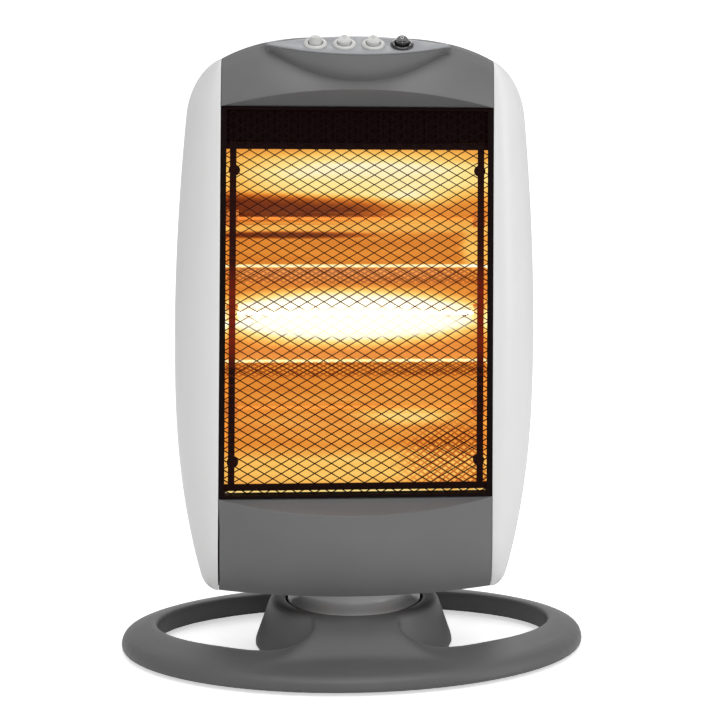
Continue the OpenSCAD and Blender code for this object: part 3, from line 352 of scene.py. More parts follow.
def quartz_glass(name):
    material, tree, shader = new_material(name)
    rough = spread(tree, noise(tree, place_of(tree), 80.0, 3.0), 0.02, 0.1)
    feed(tree, shader, Base_Color=(1, 0.97, 0.92, 1), Transmission_Weight=1.0, IOR=1.02, Roughness=rough)
    return material


def hot_wire(name, colour, strength):
    """Filament wire that glows in its own colour."""
    return finish(name, colour, (300.0, 3.0), (0.7, 1.0), 0.5, Emission_Color=(*colour, 1),
                  Emission_Strength=strength)[0]


FINISHES = {}
# Height in mm and the painted glow in sRGB that stands for the lamps' light on the bars, the wires and the frame of the
# guard
BAR_GLOW = ((120, 10, 2, 2), (136, 20, 4, 3), (225, 26, 5, 4), (245, 110, 26, 8), (285, 110, 26, 8), (310, 40, 9, 5),
            (398, 22, 4, 3), (406, 14, 2, 3))
WIRE_GLOW = ((120, 12, 3, 3), (137, 18, 5, 3), (141, 34, 9, 4), (200, 40, 12, 5), (243, 80, 30, 8), (285, 80, 30, 8),
             (330, 40, 12, 5), (393, 34, 9, 4), (397, 12, 2, 3))
FRAME_GLOW = ((120, 12, 2, 2), (430, 12, 1, 1))
# Centre x and z and half width and half height in mm, and softness, of the painted glow at the lit lamp's ends and on
# the guard's wires before it, with the colour of that painted flash
LIT_ENDS = ((0, 262.5), (120, 14), 0.1)
LIT_WIRES = ((0, 262.5), (82, 12), 0.15, tone(255, 246, 214))


def make_finishes():
    c = colours()
    # Slot and material, colour, roughness, depth of the grain in mm, variation of the tone, and coat
    for slot, *values in (
        ("base_plastic", "base_grey", c.base),
        ("panel_plastic", "panel_grey", c.panel, 0.42, 0.02),
        ("shell_plastic", "shell_white", c.shell, 0.3, 0.01, 0.01, 0.2),
        ("silver_plastic", "plate_silver", c.plate, 0.42, 0.01),
        ("switch_light", "switch_white", tone(204, 204, 202), 0.3, 0.005, 0.01, 0.2),
        ("switch_dark", "switch_black", tone(24, 24, 25), 0.2, 0.005, 0.05, 0.5),
        # The turntable's grey is lighter than its own, a painted highlight for the sheen of its slope in the shade
        # under the body
        ("turntable_plastic", "turntable_grey", tone(186, 186, 187), 0.22, 0.005, 0.05, 0.5),
        ("inner_plastic", "technical_black", tone(40, 40, 40), 0.5),
        ("nylon", "nylon", tone(222, 222, 214), 0.45),
    ):
        FINISHES[slot] = moulded_plastic(*values)
    # Slot and material, colour, roughness, and how fine the marks are along each axis
    for slot, *values in (
        ("galvanised", "zinc_sheet", (0.6, 0.6, 0.58), 0.38, (8, 8, 60)),
        ("screw_zinc", "screw_zinc", (0.66, 0.66, 0.64), 0.3, (60, 60, 60)),
        ("motor_case", "motor_can", (0.6, 0.61, 0.62), 0.35, (40, 40, 200)),
        ("brass_tab", "brass_tab", (0.75, 0.58, 0.28), 0.3, (80, 80, 80)),
    ):
        FINISHES[slot] = plated_metal(*values)
    FINISHES.update(
        black_steel=painted_steel("frame_black", c.black, glow=FRAME_GLOW),
        guard_bar=painted_steel("guard_black", c.black, glow=BAR_GLOW),
        guard_wire=painted_steel("guard_wire", c.black, glow=WIRE_GLOW, flash=LIT_WIRES),
        back_sheet=painted_steel("back_grey", c.panel, rough=0.55, mottle=0.04),
        reflector_steel=glowing_reflector("reflector_painted_glow"),
        rubber=rubber("foot_rubber", tone(32, 32, 33)),
        ceramic=ceramic("steatite", tone(150, 90, 40), tone(190, 105, 40), tone(255, 226, 140)),
        quartz=quartz_glass("quartz"),
        # The unlit filaments carry a faint painted glow that blends them into the painted glow behind them
        filament_cold=hot_wire("filament_cold", tone(236, 150, 64), 0.9),
        filament_lit=hot_wire("filament_lit", (1.0, 0.86, 0.6), 30.0),
    )


def node_slots():
    return {row["node"]: row["material_slot"] for row in frame["record"]["subparts"]}


# ---------------------------------------------------------------- mesh helpers

# Distance under which points are one, and the angle in degrees past which an edge stays sharp
WELD = 0.004 * MM
SHARP = 32


def group_tree(name, **sockets):
    """A geometry nodes tree with the given inputs, and their results in it."""
    tree = bpy.data.node_groups.new(name, "GeometryNodeTree")
    for socket, kind in sockets.items():
        tree.interface.new_socket(socket.replace("_", " "), in_out="INPUT", socket_type=f"NodeSocket{kind}")
    tree.interface.new_socket("Geometry", in_out="OUTPUT", socket_type="NodeSocketGeometry")
    return tree, add(tree, "NodeGroupInput").outputs


def smooth_tree(angle):
    """Geometry nodes that weld a node's loose triangles and shade it smooth up to an edge angle."""
    tree, given = group_tree("weld_and_smooth", Geometry="Geometry")
    merged = add(tree, "GeometryNodeMergeByDistance", given["Geometry"], Distance=WELD)
    faces = add(tree, "GeometryNodeSetShadeSmooth", merged, domain="FACE", Shade_Smooth=True)
    sharp = add(tree, "FunctionNodeCompare", add(tree, "GeometryNodeInputMeshEdgeAngle"), angle, data_type="FLOAT",
                operation="GREATER_THAN")
    edges = add(tree, "GeometryNodeSetShadeSmooth", faces, domain="EDGE", Selection=sharp, Shade_Smooth=False)
    add(tree, "NodeGroupOutput", edges)
    return tree


def linked(name, data):
    """An object of the scene for a mesh, a light or a camera."""
    obj = bpy.data.objects.new(name, data)
    bpy.context.scene.collection.objects.link(obj)
    return obj


def finish_shading(mesh, angle=SHARP):
    mesh.shade_smooth()
    mesh.set_sharp_from_angle(angle=math.radians(angle))


def weld(mesh, distance, outward=False):
    """Joins the points of a mesh that lie together, and turns its faces outwards if asked."""
    work = bmesh.new()
    work.from_mesh(mesh)
    bmesh.ops.remove_doubles(work, verts=work.verts, dist=distance)
    if outward:
        bmesh.ops.recalc_face_normals(work, faces=work.faces)
    work.to_mesh(mesh)
    work.free()


def mesh_piece(name, points, faces, material, angle=30):
    """A mesh from points in metres, with outward normals and edges kept sharp past an angle."""
    mesh = bpy.data.meshes.new(name)
    mesh.from_pydata([tuple(p) for p in points], [], faces)
    weld(mesh, WELD / 2, True)
    finish_shading(mesh, angle)
    mesh.materials.append(material)
    return linked(name, mesh)


def grid_faces(rows, cols, start=0):
    """Quads between neighbouring rows of a grid of points."""
    return [tuple(start + i * cols + j + k for k in (0, cols, cols + 1, 1)) for i in range(rows - 1)
            for j in range(cols - 1)]


def walled_sheet(outer, inner):
    """Closed wall between an outer and an inner sheet of points."""
    m, n = len(outer), len(outer[0])
    points = [p for row in outer for p in row] + [p for row in inner for p in row]
    size = m * n
    faces = grid_faces(m, n) + [tuple(reversed(f)) for f in grid_faces(m, n, start=size)]
    for j in range(n - 1):
        faces.append((j, j + 1, size + j + 1, size + j))
        faces.append(tuple((m - 1) * n + j + k for k in (0, size, size + 1, 1)))
    for i in range(m - 1):
        faces.append(tuple(i * n + k for k in (0, size, size + n, n)))
        faces.append(tuple(i * n + n - 1 + k for k in (0, n, size + n, size)))
    return points, faces


def modify(obj, name, kind, **values):
    """Adds a modifier with its properties set."""
    modifier = obj.modifiers.new(name, kind)
    for key, value in values.items():
        setattr(modifier, key, value)
    return modifier


def soften(obj, width, segments, angle):
    """Rounds the moulded edges of a piece and keeps its shading clean."""
    modify(obj, "edges", "BEVEL", width=width, segments=segments, limit_method="ANGLE",
           angle_limit=math.radians(angle), harden_normals=False)


def apply_modifiers(obj):
    """Makes what the modifiers show the piece's own mesh."""
    graph = bpy.context.evaluated_depsgraph_get()
    mesh = bpy.data.meshes.new_from_object(obj.evaluated_get(graph))
    obj.modifiers.clear()
    old = obj.data
    obj.data = mesh
    bpy.data.meshes.remove(old)
    return obj


def eased(obj, width):
    """Rounds the edges of a CAD node by modifiers, after its flat faces are merged."""
    flat_angle, edge_angle = 0.4, 40
    modify(obj, "weld", "WELD", merge_threshold=WELD)
    modify(obj, "flat", "DECIMATE", decimate_type="DISSOLVE", angle_limit=math.radians(flat_angle))
    soften(obj, width, 2, edge_angle)


def copy_of_node(name, node):
    """A welded copy of a CAD node's mesh."""
    mesh = frame["nodes"][node].data.copy()
    mesh.name = name
    weld(mesh, WELD)
    mesh.materials.clear()
    return linked(name, mesh)


def finish_copy(obj, finish, angle=SHARP):
    """Shades a changed copy of a node and gives it its finish."""
    finish_shading(obj.data, angle)
    obj.data.materials.append(FINISHES[finish])


def settle(obj, body, *nodes, slot=None):
    """Rides a finished piece on its body, in place of the nodes that it stands for."""
    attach(obj, body)
    if nodes:
        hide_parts(*nodes)
    return obj


# ---------------------------------------------------------------- operators


class HEATER_OT_finishes(bpy.types.Operator):
    """Gives every carried-over node its finish and smooth shading"""

    bl_idname = "heater.finishes"
    bl_label = "Finishes"

    # Radius in mm of the edges that show
    eased_edges = {node: radius for radius, nodes in (
        (0.25, "swing_switch low_switch high_switch power_switch back_panel"),
        (0.3, "swing_rocker low_rocker high_rocker power_rocker window_surround guard_bars"),
        (0.4, "control_plate rubber_feet end_caps"),
        (0.5, "turntable cable_gland handle_cup"),
    ) for node in nodes.split()}

    def execute(self, context):
        make_finishes()
        slots = node_slots()
        tree = smooth_tree(math.radians(SHARP))
        for name, obj in frame["nodes"].items():
            obj.data.materials.clear()
            obj.data.materials.append(FINISHES[slots[name]])
            if name in self.eased_edges:
                eased(obj, self.eased_edges[name] * MM)
            modify(obj, "smooth", "NODES", node_group=tree)
        return {"FINISHED"}


class HEATER_OT_base(bpy.types.Operator):
    """Blends the base's ring, pedestal and ramps into one moulding with soft fillets"""

    bl_idname = "heater.base"
    bl_label = "Base moulding"

    smoothing_passes = 6
    # Depth range in mm where the ramps run out on the ring, the height it begins at, and the extra passes there
    run_out, run_out_from, run_out_passes = (64, 76, 102, 112), 6, 40
    # Half axes in mm of the ring's inner edge, how much that edge rises, and how much the rear outer edge sinks
    inner_edge, edge_rise, rear_fall = (157.0, 81.4), 2.6, 1.4
    # Share of the half axes over which the rise fades inwards, and the depth and height in mm that bring it in
    fade_in, rear_full, height_full = 0.25, 60, 14

    def raise_inner_edge(self, mesh):
        """Tilts the ring's top, so that its inner edge stands higher than its outer one."""
        outer = measured("base_moulding")[1]
        for vertex in mesh.vertices:
            x, y, z = vertex.co / MM
            within = math.hypot(x / self.inner_edge[0], y / self.inner_edge[1]) - 1
            if within < -self.fade_in:
                continue
            beyond = max(0.0, 1 - math.hypot(x / outer.x, y / outer.y))
            share = 1 - within / (within + beyond) if within > 0 else 1 + within / self.fade_in
            change = self.edge_rise * smooth_step(share)
            if within > 0:
                change -= self.rear_fall * (1 - share) * clamped(y / self.rear_full)
            vertex.co.z += change * clamped(z / self.height_full) * MM

    def smoothed(self, obj, passes, group=""):
        """Relaxes a piece's points, in a vertex group or all over."""
        modify(obj, "relax", "SMOOTH", factor=0.5, iterations=passes, vertex_group=group)
        apply_modifiers(obj)

    def execute(self, context):
        obj = copy_of_node("base_body", "base_moulding")
        modify(obj, "blend", "REMESH", mode="VOXEL", voxel_size=sizes().remesh)
        self.smoothed(obj, self.smoothing_passes)
        self.raise_inner_edge(obj.data)
        zone = obj.vertex_groups.new(name="run_out")
        start, full, fade, end = self.run_out
        for vertex in obj.data.vertices:
            y, z = abs(vertex.co.y) / MM, vertex.co.z / MM
            if start < y < end and z > self.run_out_from:
                zone.add([vertex.index], min(1, (y - start) / (full - start), (end - y) / (end - fade)), "REPLACE")
        self.smoothed(obj, self.run_out_passes, zone.name)
        finish_copy(obj, "base_plastic", 60)
        settle(obj, "base", "base_moulding", slot="base_plastic")
        return {"FINISHED"}


class HEATER_OT_turntable(bpy.types.Operator):
    """Turns the turntable with its low rim and the slope that rises to the body"""

    bl_idname = "heater.turntable"
    bl_label = "Turntable"

    spigot, bore = 14.0, 9.2
    neck_wall, floor = 2.4, 2.4
    steps = 144
    # Radius in from the rim and height over the seat, in mm, from the rim's foot up to the neck
    slope = ((1.2, 0.0), (0.3, 0.4), (0.0, 1.2), (0.0, 3.6), (0.2, 4.2), (0.8, 4.7), (2.5, 5.3), (5.0, 6.4), (7.2, 7.8),
             (8.7, 9.6), (9.3, 12.0))

    def execute(self, context):
        low, high = measured("turntable")
        seat = measured("glide_washer")[1].z
        rim = high.x
        neck = rim - self.slope[-1][0]
        line = [(self.bore, low.z), (self.spigot, low.z), (self.spigot, seat)]
        line += [(rim - inwards, seat + up) for inwards, up in self.slope]
        line += [(neck, high.z), (neck - self.neck_wall, high.z), (neck - self.neck_wall, seat + self.floor),
                 (self.bore, seat + self.floor)]
        obj = mesh_piece("turntable_disc", *lathe(line, self.steps), FINISHES["turntable_plastic"], 40)
        settle(obj, "head", "turntable", slot="turntable_plastic")
        return {"FINISHED"}


def lathe(line, steps):
    """A closed ring from a closed (radius, z) outline in millimetres."""
    points, faces, count = [], [], len(line)
    for i in range(steps):
        turn = 2 * math.pi * i / steps
        points += [Vector((r * math.cos(turn), r * math.sin(turn), z)) * MM for r, z in line]
        ahead = (i + 1) % steps
        faces += [(i * count + k, i * count + (k + 1) % count, ahead * count + (k + 1) % count, ahead * count + k)
                  for k in range(count)]
    return points, faces


# ---------------------------------------------------------------- covers


def measured(node):
    """A node's box in millimetres."""
    low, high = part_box(node)
    return low / MM, high / MM


class Covers:
    """The body's outline in mm. Its places come from the frame, the tapers and rounds are the moulding's own."""

    seam_gap, seam_lip, wall = 0.2, 0.6, 2.5
    widest_z, taper = 262.0, 190.0
    foot_taper, foot_power = 18.8, 2.72
    head_taper, head_power = 10.7, 1.83
    corner_drop, corner_depth = 61.3, 26.0
    foot_round, edge_round = 5.0, 8.0
    crown_drop, crown_power = 18.0, 3.3
    face_lean, curl_height, curl_depth = 2.0, 36.0, 9.0
    widest_y, rear_seam_in = 2.0, 1.5
    hood_bulge, panel_bulge, brow = 18.0, 24.0, 0.5
    hood_crease, panel_crease = 13.0, 10.0
    # How far the panels' edges turn in at the window and at the foot
    lintel_in, sill_in, hem = 2.8, 3.0, 0.5
    # The lower panel's front between its crease and its curl, as (way back at the middle, share of the way down), and
    # the shares of the curl's height
    panel_curve, curl_steps = ((3.4, 0.33), (0.6, 0.67)), (0.7, 0.43, 0.2)
    pod_x, pod_half, pod_drop, pod_fall, pod_ahead, pod_undercut = 74.5, 15.0, 8.4, 27.3, 1.6, 6.0
    pod_fade, pod_slope, pod_belly = 0.12, math.radians(32.6), Vector((-1.6, -1))
    # Least room in mm from the pod to the hood's top, rear and face, and the turns in degrees of the top edge's points
    under_top, behind_pod, over_face, edge_turns = 1.5, Vector((4, 0.4)), 1.0, (40, 70)
    crest_rise, rear_fall = 0.4, 1.0

    def __init__(self):
        shell_low, shell_high = measured("right_shell")
        hood_low, hood_high = measured("hood")
        self.seam_x = shell_low.x - self.seam_gap
        self.half_width = shell_high.x
        self.foot = shell_low.z
        self.front = shell_low.y
        self.rear_seam = shell_high.y + self.seam_gap
        self.panel_edge = self.seam_x - self.seam_gap
        self.window_low = measured("lower_panel")[1].z
        self.window_high = hood_low.z
        self.top = hood_high.z - self.crest_rise
        self.corner_z = self.top - self.corner_drop
        self.curl_z = self.foot + self.curl_height
        self.seam_top = self.crown(self.seam_x)

    def crown(self, x):
        return self.top - self.crown_drop * (abs(x) / self.seam_x) ** self.crown_power

    def bulge(self, x):
        return 1 - (x / self.seam_x) ** 2

    def half_w(self, z):
        loss = 0.0
        if z < self.foot + self.foot_round:
            loss = self.foot_round - math.sqrt(self.foot_round ** 2 - (self.foot + self.foot_round - z) ** 2)
        if z > self.corner_z:
            rise = (z - self.corner_z) / (self.seam_top - self.corner_z)
            loss += self.corner_depth * (1 - math.sqrt(max(0.0, 1 - rise ** 2)))
        if z < self.widest_z:
            loss += self.foot_taper * ((self.widest_z - z) / self.taper) ** self.foot_power
        else:
            loss += self.head_taper * ((z - self.widest_z) / self.taper) ** self.head_power
        return self.half_width - loss

    def curl(self, z):
        return self.curl_depth * ((self.curl_z - z) / self.curl_height) ** 2 if z < self.curl_z else 0.0

    def seam_y(self, z):
        y = self.front + self.curl(z)
        if z > self.window_high:
            y += self.face_lean * min(1, (z - self.window_high) / (self.seam_top - self.edge_round - self.window_high))
        over = z - self.seam_top + self.edge_round
        return y + (self.edge_round - math.sqrt(max(0.0, self.edge_round ** 2 - over ** 2)) if over > 0 else 0.0)

    def shell_row(self, z, depth, side):
        """One level of a side shell, from the front seam round to the rear seam, depth inside its surface."""
        least = self.seam_x + self.wall + self.seam_lip
        inner = self.seam_x + self.seam_gap
        wide = max(self.half_w(z), least) - depth
        front = self.seam_y(z) + depth
        row = []
        for i in range(SHELL_TURNS + 1):
            turn = math.pi / 2 * i / SHELL_TURNS
            row.append((max(inner, inner + (wide - inner) * math.sin(turn)),
                        self.widest_y + (front - self.widest_y) * math.cos(turn)))
        for i in range(1, SIDE_STEPS + 1):
            share = i / SIDE_STEPS
            y = self.widest_y + (self.rear_seam - self.seam_gap - self.widest_y) * share
            row.append((max(inner, wide - self.rear_seam_in * share ** 2), y))
        return [Vector((side * x, y, z)) * MM for x, y in row]

    def brow_y(self, bulge):
        """Front of the creases over and under the window."""
        return self.front - self.brow - (self.hood_bulge - self.brow) * bulge

    def lower_profile(self, x):
        """The lower panel at x, as (y, z) from the window's edge over the crease and down to its curl."""
        b = self.bulge(x)
        f = self.front - self.panel_bulge * b
        crease = self.window_low - self.panel_crease * b
        points = [(self.front + self.sill_in, self.window_low), (self.brow_y(b), crease)]
        points += [(f + back * b, crease + (self.curl_z - crease) * down) for back, down in self.panel_curve]
        points.append((f, self.curl_z))
        heights = [self.foot + self.curl_height * share for share in self.curl_steps]
        points += [(f + self.curl(z), z) for z in heights]
        return [Vector(p) for p in points + [(f + self.curl_depth + self.hem, self.foot)]]

    def hood_profile(self, x):
        """The hood at x, as (y, z) from the window's edge over the crease, the switch pod and back."""
        b = self.bulge(x)
        lens = max(0.0, 1 - (x / self.pod_x) ** 2)
        on_pod = smooth_step(clamped(lens / self.pod_fade))
        top = self.crown(x)
        pod_z = min(self.top - self.pod_drop, top - self.under_top)
        along = Vector((math.cos(self.pod_slope), math.sin(self.pod_slope))) * self.pod_half * lens
        middle = Vector((self.front - self.pod_ahead, pod_z))
        rest = self.front + self.face_lean
        crease = Vector((self.brow_y(b), self.window_high + self.hood_crease * b))
        low_z = min(self.top - self.pod_drop - self.pod_fall * lens, top - self.edge_round - self.over_face)
        lean = clamped((low_z - crease.y) / (top - self.edge_round - crease.y))
        face = Vector((crease.x + (rest - crease.x) * lean + self.pod_undercut * lens, low_z))

        def edge(angle, pod_point):
            turn, r = math.radians(angle), self.edge_round
            rounded = Vector((rest + r * (1 - math.cos(turn)), top - r * (1 - math.sin(turn))))
            return rounded.lerp(pod_point, on_pod)

        front, rear = (edge(turn, middle + side * along) for turn, side in zip(self.edge_turns, (-1, 1)))
        behind = rear + self.behind_pod
        return [Vector((self.front + self.lintel_in, self.window_high)), crease, (crease + face) / 2, face,
                (face + front) / 2 + self.pod_belly * lens, front, rear,
                Vector((max(rest + self.edge_round, behind.x), max(top, behind.y))),
                Vector(((self.rear_seam + rear.x) / 2, top + self.crest_rise * lens)),
                Vector((self.rear_seam - self.seam_gap, top - self.rear_fall))]


SHELL_TURNS, SIDE_STEPS = 20, 6
PANEL_COLUMNS, PANEL_PARTS = 97, 4
HOOD_CORNERS = (0, 1, 3, 5, 6, 9)
PANEL_CORNERS = (0, 1, 8)
# Least cosine by which a corner's way in is lengthened
MITRE_LIMIT = 0.5


def inset(points, depth):
    """A (y, z) profile moved sideways by a depth, to the right of its run."""
    moved = []
    for i, point in enumerate(points):
        before = (point - points[i - 1]).normalized() if i else None
        after = (points[i + 1] - point).normalized() if i + 1 < len(points) else None
        before, after = before or after, after or before
        bisector = (before + after).normalized()
        moved.append(point + Vector((bisector.y, -bisector.x)) * depth / max(MITRE_LIMIT, bisector.dot(before)))
    return moved


def refined(points, corners, parts):
    """A profile with curved runs between its corners, each span in so many parts."""
    fine = [points[0]]
    for first, last in zip(corners, corners[1:]):
        run = points[first:last + 1]
        for i in range(len(run) - 1):
            p0, p1, p2, p3 = run[max(0, i - 1)], run[i], run[i + 1], run[min(len(run) - 1, i + 2)]
            for k in range(1, parts + 1):
                t = k / parts
                fine.append(0.5 * (2 * p1 + (p2 - p0) * t + (2 * p0 - 5 * p1 + 4 * p2 - p3) * t * t
                                   + (3 * p1 - p0 - 3 * p2 + p3) * t ** 3))
    return fine


def front_panel(name, profile, corners, depth, margin, width):
    """A bulging front panel out of its profiles, column by column."""
    outer, inner = [], []
    for i in range(PANEL_COLUMNS):
        x = width * (2 * i / (PANEL_COLUMNS - 1) - 1)
        points = profile(x)
        for sheet, line in ((outer, points), (inner, inset(points, depth))):
            sheet.append([Vector((margin(x, q.y), q.x, q.y)) * MM for q in refined(line, corners, PANEL_PARTS)])
    return mesh_piece(name, *walled_sheet(outer, inner), FINISHES["panel_plastic"])


def cover(obj, node, slot, angle=38):
    """Rounds a cover's edges past an angle, and puts it in its node's place on the head."""
    soften(obj, sizes().edge_softness, 3, angle)
    apply_modifiers(obj)
    finish_shading(obj.data)
    settle(obj, "head", node, slot=slot)


class HEATER_OT_hood(bpy.types.Operator):
    """Moulds the hood with its switch pod, and cuts the switch holes"""

    bl_idname = "heater.hood"
    bl_label = "Hood"

    # In mm: the play round a switch body, how far its bezel reaches over the hole, and the length of the cutting rod
    hole_play, bezel_reach, rod_length = 0.1, 1.1, 40

    def execute(self, context):
        shape = Covers()
        obj = front_panel("hood_moulding", shape.hood_profile, HOOD_CORNERS, shape.wall, lambda x, z: x,
                          shape.panel_edge)
        cutters = [self.hole(name) for name in ("swing", "low", "high", "power")]
        for cutter in cutters:
            modify(obj, cutter.name, "BOOLEAN", operation="DIFFERENCE", solver="EXACT", object=cutter)
        cover(obj, "hood", "panel_plastic")
        for cutter in cutters:
            bpy.data.objects.remove(cutter)
        return {"FINISHED"}

    def hole(self, name):
        """A rod through the hood, on the axis of a switch."""
        low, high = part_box(f"{name}_switch")
        radius = (high.x - low.x) / 2 + (self.hole_play - self.bezel_reach) * MM
        rod = bmesh.new()
        bmesh.ops.create_cone(rod, cap_ends=True, segments=40, radius1=radius, radius2=radius,
                              depth=self.rod_length * MM, matrix=rocker_place(name))
        mesh = bpy.data.meshes.new(f"{name}_hole")
        rod.to_mesh(mesh)
        rod.free()
        return linked(f"{name}_hole", mesh)


def rocker_place(name, turn=0.0):
    """Frame of a rocker's pin, with Z out of the control plate."""
    pin = next(joint["pos_m"] for joint in frame["joints"] if joint["child"] == f"{name}_rocker")
    return Matrix.Translation(Vector(pin)) @ Matrix.Rotation(Covers.pod_slope + turn, 4, "X")


class HEATER_OT_lower_panel(bpy.types.Operator):
    """Moulds the lower front panel, with the open joint on its left"""

    bl_idname = "heater.lower_panel"
    bl_label = "Lower panel"

    # In mm: the joint's width, the heights where it begins and is full, where it is shut over the foot and the height
    # over which it opens there, and the width of the strip that is drawn in
    joint_width, joint_from, joint_full = 0.9, 122.0, 104.0
    shut_to, opening, strip = 3.0, 6.0, 20.0

    def execute(self, context):
        shape = Covers()
        edge = shape.panel_edge

        def margin(x, z):
            """Draws the leftmost columns in, so that a dark joint opens beside the shell."""
            share = clamped((self.joint_from - z) / (self.joint_from - self.joint_full))
            shut = clamped((z - shape.foot - self.shut_to) / self.opening)
            return x + self.joint_width * share * shut * clamped((self.strip - x - edge) / self.strip)

        obj = front_panel("lower_panel_moulding", shape.lower_profile, PANEL_CORNERS, -shape.wall, margin, edge)
        cover(obj, "lower_panel", "panel_plastic")
        return {"FINISHED"}


class HEATER_OT_side_shells(bpy.types.Operator):
    """Moulds the two white side shells with their rounded shoulders"""

    bl_idname = "heater.side_shells"
    bl_label = "Side shells"

    foot_levels, levels, shoulder_levels = 8, 60, 16

    def execute(self, context):
        shape = Covers()
        top = shape.seam_top - shape.seam_gap
        straight = shape.foot + shape.foot_round
        quarter = math.pi / 2
        heights = [shape.foot + shape.foot_round * (1 - math.cos(quarter * i / self.foot_levels))
                   for i in range(self.foot_levels)]
        heights += [straight + (shape.corner_z - straight) * i / self.levels for i in range(self.levels)]
        heights += [shape.corner_z + (top - shape.corner_z) * math.sin(quarter * i / self.shoulder_levels)
                    for i in range(self.shoulder_levels + 1)]
        for name, side in (("left", -1), ("right", 1)):
            sheets = [[shape.shell_row(z, depth, side) for z in heights] for depth in (0.0, shape.wall)]
            obj = mesh_piece(f"{name}_shell_moulding", *walled_sheet(*sheets), FINISHES["shell_plastic"])
            cover(obj, f"{name}_shell", "shell_plastic", 50)
        return {"FINISHED"}


class HEATER_OT_rocker_marks(bpy.types.Operator):
    """Prints the round and short marks on the rockers"""

    bl_idname = "heater.rocker_marks"
    bl_label = "Rocker marks"

    tilt = math.radians(14)
    hollow = math.radians(20)
    # In mm: the rocker's crown over its pin, a mark's distance from the middle, and the sizes of the print
    crown_height, mark_place = 5.4, 2.9
    ring_radius, dash_half, print_width, print_depth = 1.1, 0.88, 0.32, 0.05

    def execute(self, context):
        light = moulded_plastic("mark_white", tone(235, 235, 235), rough=0.4)
        grey = moulded_plastic("mark_grey", colours().mark, rough=0.4)
        half, deep = self.print_width / 2, self.print_depth
        inner, outer = self.ring_radius - half, self.ring_radius + half
        ring = lathe([(outer, 0), (outer, deep), (inner, deep), (inner, 0)], 40)
        dash = boxes([((-half, half), (-self.dash_half, self.dash_half), (0, deep))])
        for name, kind, side, ink, (points, faces) in (
            ("low", "round", 1, grey, ring), ("high", "round", 1, grey, ring),
            ("power", "round", 1, light, ring), ("power", "short", -1, light, dash),
        ):
            place = self.place(name, side)
            mark = mesh_piece(f"{name}_{kind}_mark", [place @ point for point in points], faces, ink)
            settle(mark, f"{name}_rocker")
        return {"FINISHED"}

    def place(self, name, side):
        """Middle of the rocker's rear (1) or front (-1) half, with Z out of its surface."""
        up = self.crown_height + self.mark_place * math.tan(self.hollow)
        on_rocker = Matrix.Translation(Vector((0, side * self.mark_place, up)) * MM)
        return rocker_place(name, self.tilt) @ on_rocker @ Matrix.Rotation(side * self.hollow, 4, "X")


# ---------------------------------------------------------------- guard and lamps


def strand_tree():
    """Geometry nodes of the wire guard: zigzag strands, stacked so that they meet at their knuckles."""
    tree, given = group_tree("wire_guard", Columns="Int", Rows="Int", Diamond_width="Float", Diamond_height="Float",
                             Strand="Float", Origin="Vector", Material="Material")
    half_width = maths(tree, "DIVIDE", given["Diamond width"], 2.0)
    half_height = maths(tree, "DIVIDE", given["Diamond height"], 2.0)
    odd = maths(tree, "MODULO", add(tree, "GeometryNodeInputIndex"), 2.0)
    profile = add(tree, "GeometryNodeCurvePrimitiveQuadrilateral", Width=given["Strand"], Height=given["Strand"])
    rows = add(tree, "GeometryNodeMeshLine", mode="OFFSET", Count=given["Rows"], Start_Location=given["Origin"],
               Offset=add(tree, "ShaderNodeCombineXYZ", 0, 0, given["Diamond height"]))
    both = add(tree, "GeometryNodeJoinGeometry")
    for side in (1.0, -1.0):
        line = add(tree, "GeometryNodeMeshLine", mode="OFFSET", Count=given["Columns"],
                   Offset=add(tree, "ShaderNodeCombineXYZ", half_width, 0, 0))
        lifted = maths(tree, "MULTIPLY", odd, maths(tree, "MULTIPLY", half_height, side))
        shift = add(tree, "GeometryNodeSetPosition", line, Offset=add(tree, "ShaderNodeCombineXYZ", 0, 0, lifted))
        curve = add(tree, "GeometryNodeMeshToCurve", shift)
        solid = add(tree, "GeometryNodeCurveToMesh", curve, Profile_Curve=profile, Fill_Caps=True)
        feed(tree, both, Geometry=add(tree, "GeometryNodeInstanceOnPoints", rows, Instance=solid))
    return finished(tree, both, given["Material"])


def finished(tree, geometry, material):
    """Realizes the instances, sets the material and ends the tree."""
    real = add(tree, "GeometryNodeRealizeInstances", geometry)
    add(tree, "NodeGroupOutput", add(tree, "GeometryNodeSetMaterial", real, Material=material))
    return tree


def grown(name, tree, **inputs):
    """A plain mesh made by a geometry nodes tree with the given named inputs."""
    obj = linked(name, bpy.data.meshes.new(name))
    modifier = modify(obj, "grow", "NODES", node_group=tree)
    sockets = {item.name: item.identifier for item in tree.interface.items_tree if item.in_out == "INPUT"}
    for key, value in inputs.items():
        modifier[sockets[key.replace("_", " ")]] = value
    return apply_modifiers(obj)


